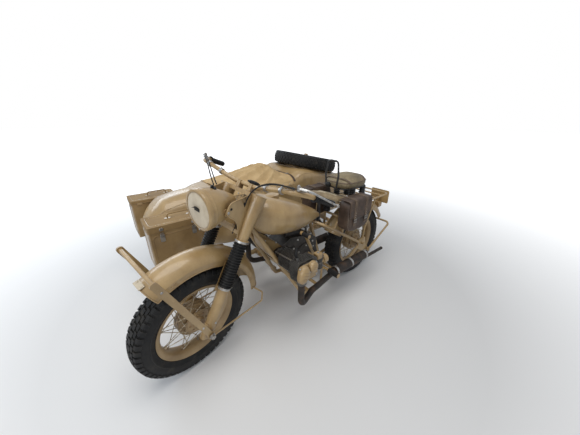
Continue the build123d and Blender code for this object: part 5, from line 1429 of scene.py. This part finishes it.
def canvas_spot(u, v):
    x = COVER_REAR + COVER_LENGTH * u
    edge = tub_side(x, HEM) + 0.002
    y = edge * sin(v * pi / 2)
    ridge = [za + (zb - za) * (x - a) / (b - a) for (a, za), (b, zb) in zip(RIDGE, RIDGE[1:]) if a <= x <= b][0]
    spread = abs(y) / edge
    tent = HEM + (ridge - HEM) * (1 - max(0.0, (spread - 0.12) / 0.88) ** 1.35)
    bearing = degrees(atan2(y, x - 0.24))
    loose = min(1.0, max(0.0, (x - 0.38) / 0.14)) * min(1.0, (1 - spread) / 0.2, (1 - u) / 0.06)
    folds = sum(rise * exp(-(((bearing - angle) / wide) ** 2)) for angle, rise, wide in FOLDS)
    return point(x, SIDECAR + y, max(tub_outline(x, y)[0] + 0.003, tent) + loose * folds)


cover, hem, lace = Shape(), Shape(), Shape()
across = [2 * column / COVER_COLUMNS - 1 for column in range(COVER_COLUMNS + 1)]
rows = [[canvas_spot(row / COVER_ROWS, v) for v in across] for row in range(COVER_ROWS + 1)]
cover.add(loft(rows, round_off=False, ends=False, flip=True))
cover_sheet = cover.piece("cockpit_cover", canvas_duck, instead_of="canvas_cover", slot="canvas", sharp=70)
border = [canvas_spot(a / 40, -1) for a in range(41)] + [canvas_spot(1, b / 20 - 1) for b in range(1, 41)]
border += [canvas_spot(1 - a / 40, 1) for a in range(1, 41)] + [canvas_spot(0, 1 - b / 20) for b in range(1, 41)]
hem.add(tube(border, 0.0026, 8))
for hand in HANDS:
    route = []
    for count in range(19):
        x = COVER_REAR + 0.012 + 0.035 * count
        z = HEM + (0.01 if count % 2 else -0.03)
        y = tub_side(x, z)
        out = tub_outline(x, y)[1] * Vector((1, hand, 1))
        spot = point(x, SIDECAR + hand * y, z)
        route.append(spot + out * 0.006)
        lace.add(rivet(spot + out * 0.003, out, 0.0052), 1)
    lace.add(tube(route, 0.0017, 6))
hem.piece("cover_hem", canvas_duck)
lace.piece("cover_lacing", thread, steel)

# Deck strap: a black strap buckled across the deck behind the cover.
deck_strap = Shape()
turns = [0.308 * sin(radians(angle)) * 0.93 for angle in range(-84, 85, 6)]
outlines = [tub_outline(0.304, y) for y in turns]
route = [point(0.304, SIDECAR + y, z) + out * 0.0015 for y, (z, out) in zip(turns, outlines)]
deck_strap.add(strap(route, [out for z, out in outlines], 0.022))
deck_strap.add(buckle(route[20], route[21] - route[20], outlines[20][1], 0.024), 1)
deck_strap.piece("deck_strap", dark_hide, steel)

# Nose box trim: a pressed bead round each face, toggle latches on the outer side and the handle's feet.
BOX_X, BOX_HIGH, LID_HIGH = 1.355, 0.577, 0.751
for hand, side in ((1, "near"), (-1, "far")):
    middle = SIDECAR + hand * 0.295
    shell, lid = Shape(), Shape()
    outer = middle + hand * 0.0975
    shell.add(bead_loop(0.294, 0.222, 0.02, facing(point(BOX_X, outer, BOX_HIGH), (0, hand, 0))))
    for end in HANDS:
        shell.add(bead_loop(0.158, 0.222, 0.02, facing(point(BOX_X + end * 0.165, middle, BOX_HIGH), (end, 0, 0))))
    lid.add(bead_loop(0.15, 0.3, 0.02, facing(point(BOX_X, middle, LID_HIGH), UP, (1, 0, 0))))
    for ahead in (-0.105, 0.03):
        foot = facing(point(BOX_X + ahead, middle, LID_HIGH), UP, (0, 1, 0))
        lid.add(slab(rounded(0.036, 0.024, 0.006), 0.0002, 0.003, 0.0006), place=foot)
        for along in (-0.011, 0.011):
            lid.add(rivet(foot @ Vector((along, 0, 0.003)), UP, 0.0035), 1)
    for ahead in (-0.095, 0.095):
        low = facing(point(BOX_X + ahead, outer, 0.672), (0, hand, 0))
        high = facing(point(BOX_X + ahead, outer + hand * 0.003, 0.729), (0, hand, 0))
        shell.add(slab(rounded(0.026, 0.052, 0.004), 0.0002, 0.0026, 0.0006), 1, place=low)
        wire = [(-0.009, -0.014, 0.004), (-0.009, 0.034, 0.0062), (0.009, 0.034, 0.0062), (0.009, -0.014, 0.004)]
        shell.add(tube([low @ spot for spot in bent(wire, 0.004)], 0.0014, 6), 1)
        lid.add(slab(rounded(0.022, 0.018, 0.004), 0.0002, 0.004, 0.0008), 1, place=high)
    shell.piece(f"{side}_box_trim", painted_shade_tan, steel)
    lid.piece(f"{side}_lid_trim", desert_tan, steel, body=f"{side}_box_lid_body")

# Sidecar seat: a sprung cushion and a squab of the saddle's hide on a painted box, under the cover.
seat_box = Shape()
seat_box.add(slab(rounded(0.42, 0.368, 0.015), 0.0, 0.096, 0.002), place=at(0.57, SIDECAR, 0.3756))
seat_box.piece("seat_box", painted_shade_tan)
for name, x, z, half_x, half_y, deep, lean, replaced in (
    ("seat_cushion", 0.612, 0.472, 0.172, 0.184, 0.074, 0, "sidecar_seat"),
    ("seat_squab", 0.352, 0.668, 0.136, 0.182, 0.062, 80, None),
):
    pad = Shape()
    pad.add(cushion(Vector((0, 0, 0)), half_x, half_y, deep * 0.5, deep), place=at(x, SIDECAR, z) @ turned(lean, "Y"))
    made = pad.piece(name, saddle_hide, instead_of=replaced, slot="seat_cloth", sharp=60)

# Tail lamp: a pressed bowl with a red lens held by a ring, over which a blank plate is bolted.
tail = Shape()
rearward = facing(point(-0.3147, 0, 0.59), (-1, 0, 0))
tail.add(slab(rounded(0.07, 0.06, 0.016), 0.0, 0.046, 0.003), place=rearward)
tail.add(slab(rounded(0.066, 0.056, 0.015), 0.046, 0.051, 0.001), 2, place=rearward)
tail.add(slab(rounded(0.06, 0.05, 0.013), 0.051, 0.0615, 0.006), 1, place=rearward)
tail.add(slab(rounded(0.02, 0.074, 0.002), 0.027, 0.0455, 0.001), place=shift(0, 0, 0.062) @ rearward)
plate = facing(point(-0.3622, 0, 0.668), (-1, 0, 0))
tail.add(slab(rounded(0.18, 0.12, 0.012), 0.0, 0.0018, 0.0004), place=plate)
tail.add(bead_loop(0.178, 0.118, 0.012, plate @ shift(0, 0, 0.0014), 0.0016))
for rise in (-0.006, 0.02):
    tail.add(hex_head(plate @ Vector((0, rise, 0.0018)), (-1, 0, 0), 0.01, 0.004), 2)
tail.piece("lamp_and_plate", desert_tan, red_lens, steel, instead_of="tail_lamp", slot="red_lens")

# Small rubbers: ribbed sleeves on the footrests and the kick starter, and the ball on the hoop's foot.
rubbers = Shape()
sleeves = [((0.56, hand * 0.218, 0.352), (0.56, hand * 0.304, 0.352), 0.0171, 0.0196) for hand in HANDS]
sleeves.append(((0.792, 0.186, 0.706), (0.792, 0.239, 0.706), 0.0121, 0.0142))
for start, end, inner, outer in sleeves:
    run = point(*end) - point(*start)
    ribs = int(run.length / 0.006)
    line = [(inner, 0.0)]
    for rib in range(ribs):
        low = run.length * rib / ribs
        line += [(outer - 0.0012, low), (outer, low + 0.0015), (outer, low + 0.0042), (outer - 0.0012, low + 0.0055)]
    line.append((inner, run.length))
    rubbers.add(hoop(line, 24), place=aimed(point(*start), run))
ball = [(0.021 * sin(pi * step / 14) + 0.0003, -0.021 * cos(pi * step / 14)) for step in range(15)]
rubbers.add(spun(ball, 28), place=at(0.385, 0, 0.902))
rubbers.add(rod(point(0.352, 0, 0.884), point(0.38, 0, 0.898), 0.006), 1)
rubbers.piece("peg_rubbers", bellows_rubber, black_enamel)

# Sidecar fixings: split clamps round the rail at each lower link, and a collar with its bolt at each link
# end. Links: the end at the rail, the end at the motorcycle's frame, and the radius, in millimetres.
LINKS = mm(
    "745,-429.6,266.7,745,-175.3,212.4,15 345,-429.7,266.6,345,-146.7,208.6,15 "
    "902.5,-436.8,278.3,1012,-95.7,658.4,12 204.4,-431,283.6,295.5,-115.9,506.7,12"
)
fixings = Shape()
for x, y, z, *frame_end, radius in LINKS:
    ends = point(x, y, z), point(*frame_end)
    for a, b in (ends, ends[::-1]):
        run = (b - a).normalized()
        ring = [(radius + 0.0004, 0), (radius + 0.006, 0.002), (radius + 0.006, 0.024), (radius + 0.0004, 0.026)]
        fixings.add(hoop(ring, 28), place=aimed(a + run * 0.016, run))
        side = run.cross(Vector(UP)).normalized()
        fixings.add(hex_head(a + run * 0.029 + side * (radius + 0.005), side, 0.013, 0.008), 1)
    fixings.add(hoop("20.4,-20 25,-18 25,18 20.4,20", 32), place=aimed(point(x, -0.45, 0.27), FORWARD))
    fixings.add(hex_head(point(x, -0.45, 0.2435), (0, 0, -1), 0.015, 0.009), 1)
fixings.piece("sidecar_fixings", desert_tan, steel)

# Lamp wings: a pressed sheet on each leg that widens forward from the shroud to the headlamp's bolt.
WING = mm(
    "60,762 104,764 128,744 160,722 196,700 211,684 213,648 206,632 182,624 152,618 128,602 110,578 98,550 90,524 "
    "60,518"
)
wings = Shape()
for hand in HANDS:
    points, faces = slab(WING, 0.1084, 0.1124, 0.0012, middle=(0.13, 0.66))
    wings.add(([(x, hand * z, y) for x, y, z in points], faces), place=fork_frame)
    rim = [fork_frame @ Vector((x, hand * 0.1104, y)) for x, y in WING[1:-1]]
    wings.add(tube(bent(rim, 0.008, 3), 0.0034, 8))
    for ahead, height in ((0.128, 0.706), (0.196, 0.664)):
        spot = fork_frame @ Vector((ahead, hand * 0.1125, height))
        wings.add(rivet(spot, fork_turn @ Vector((0, hand, 0)), 0.0065), 1)
wings.piece("lamp_wings", desert_tan, bellows_rubber, body="steering")

corners = [[[round(c, 5) for c in corner] for corner in box] for box in (cad_box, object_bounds())]
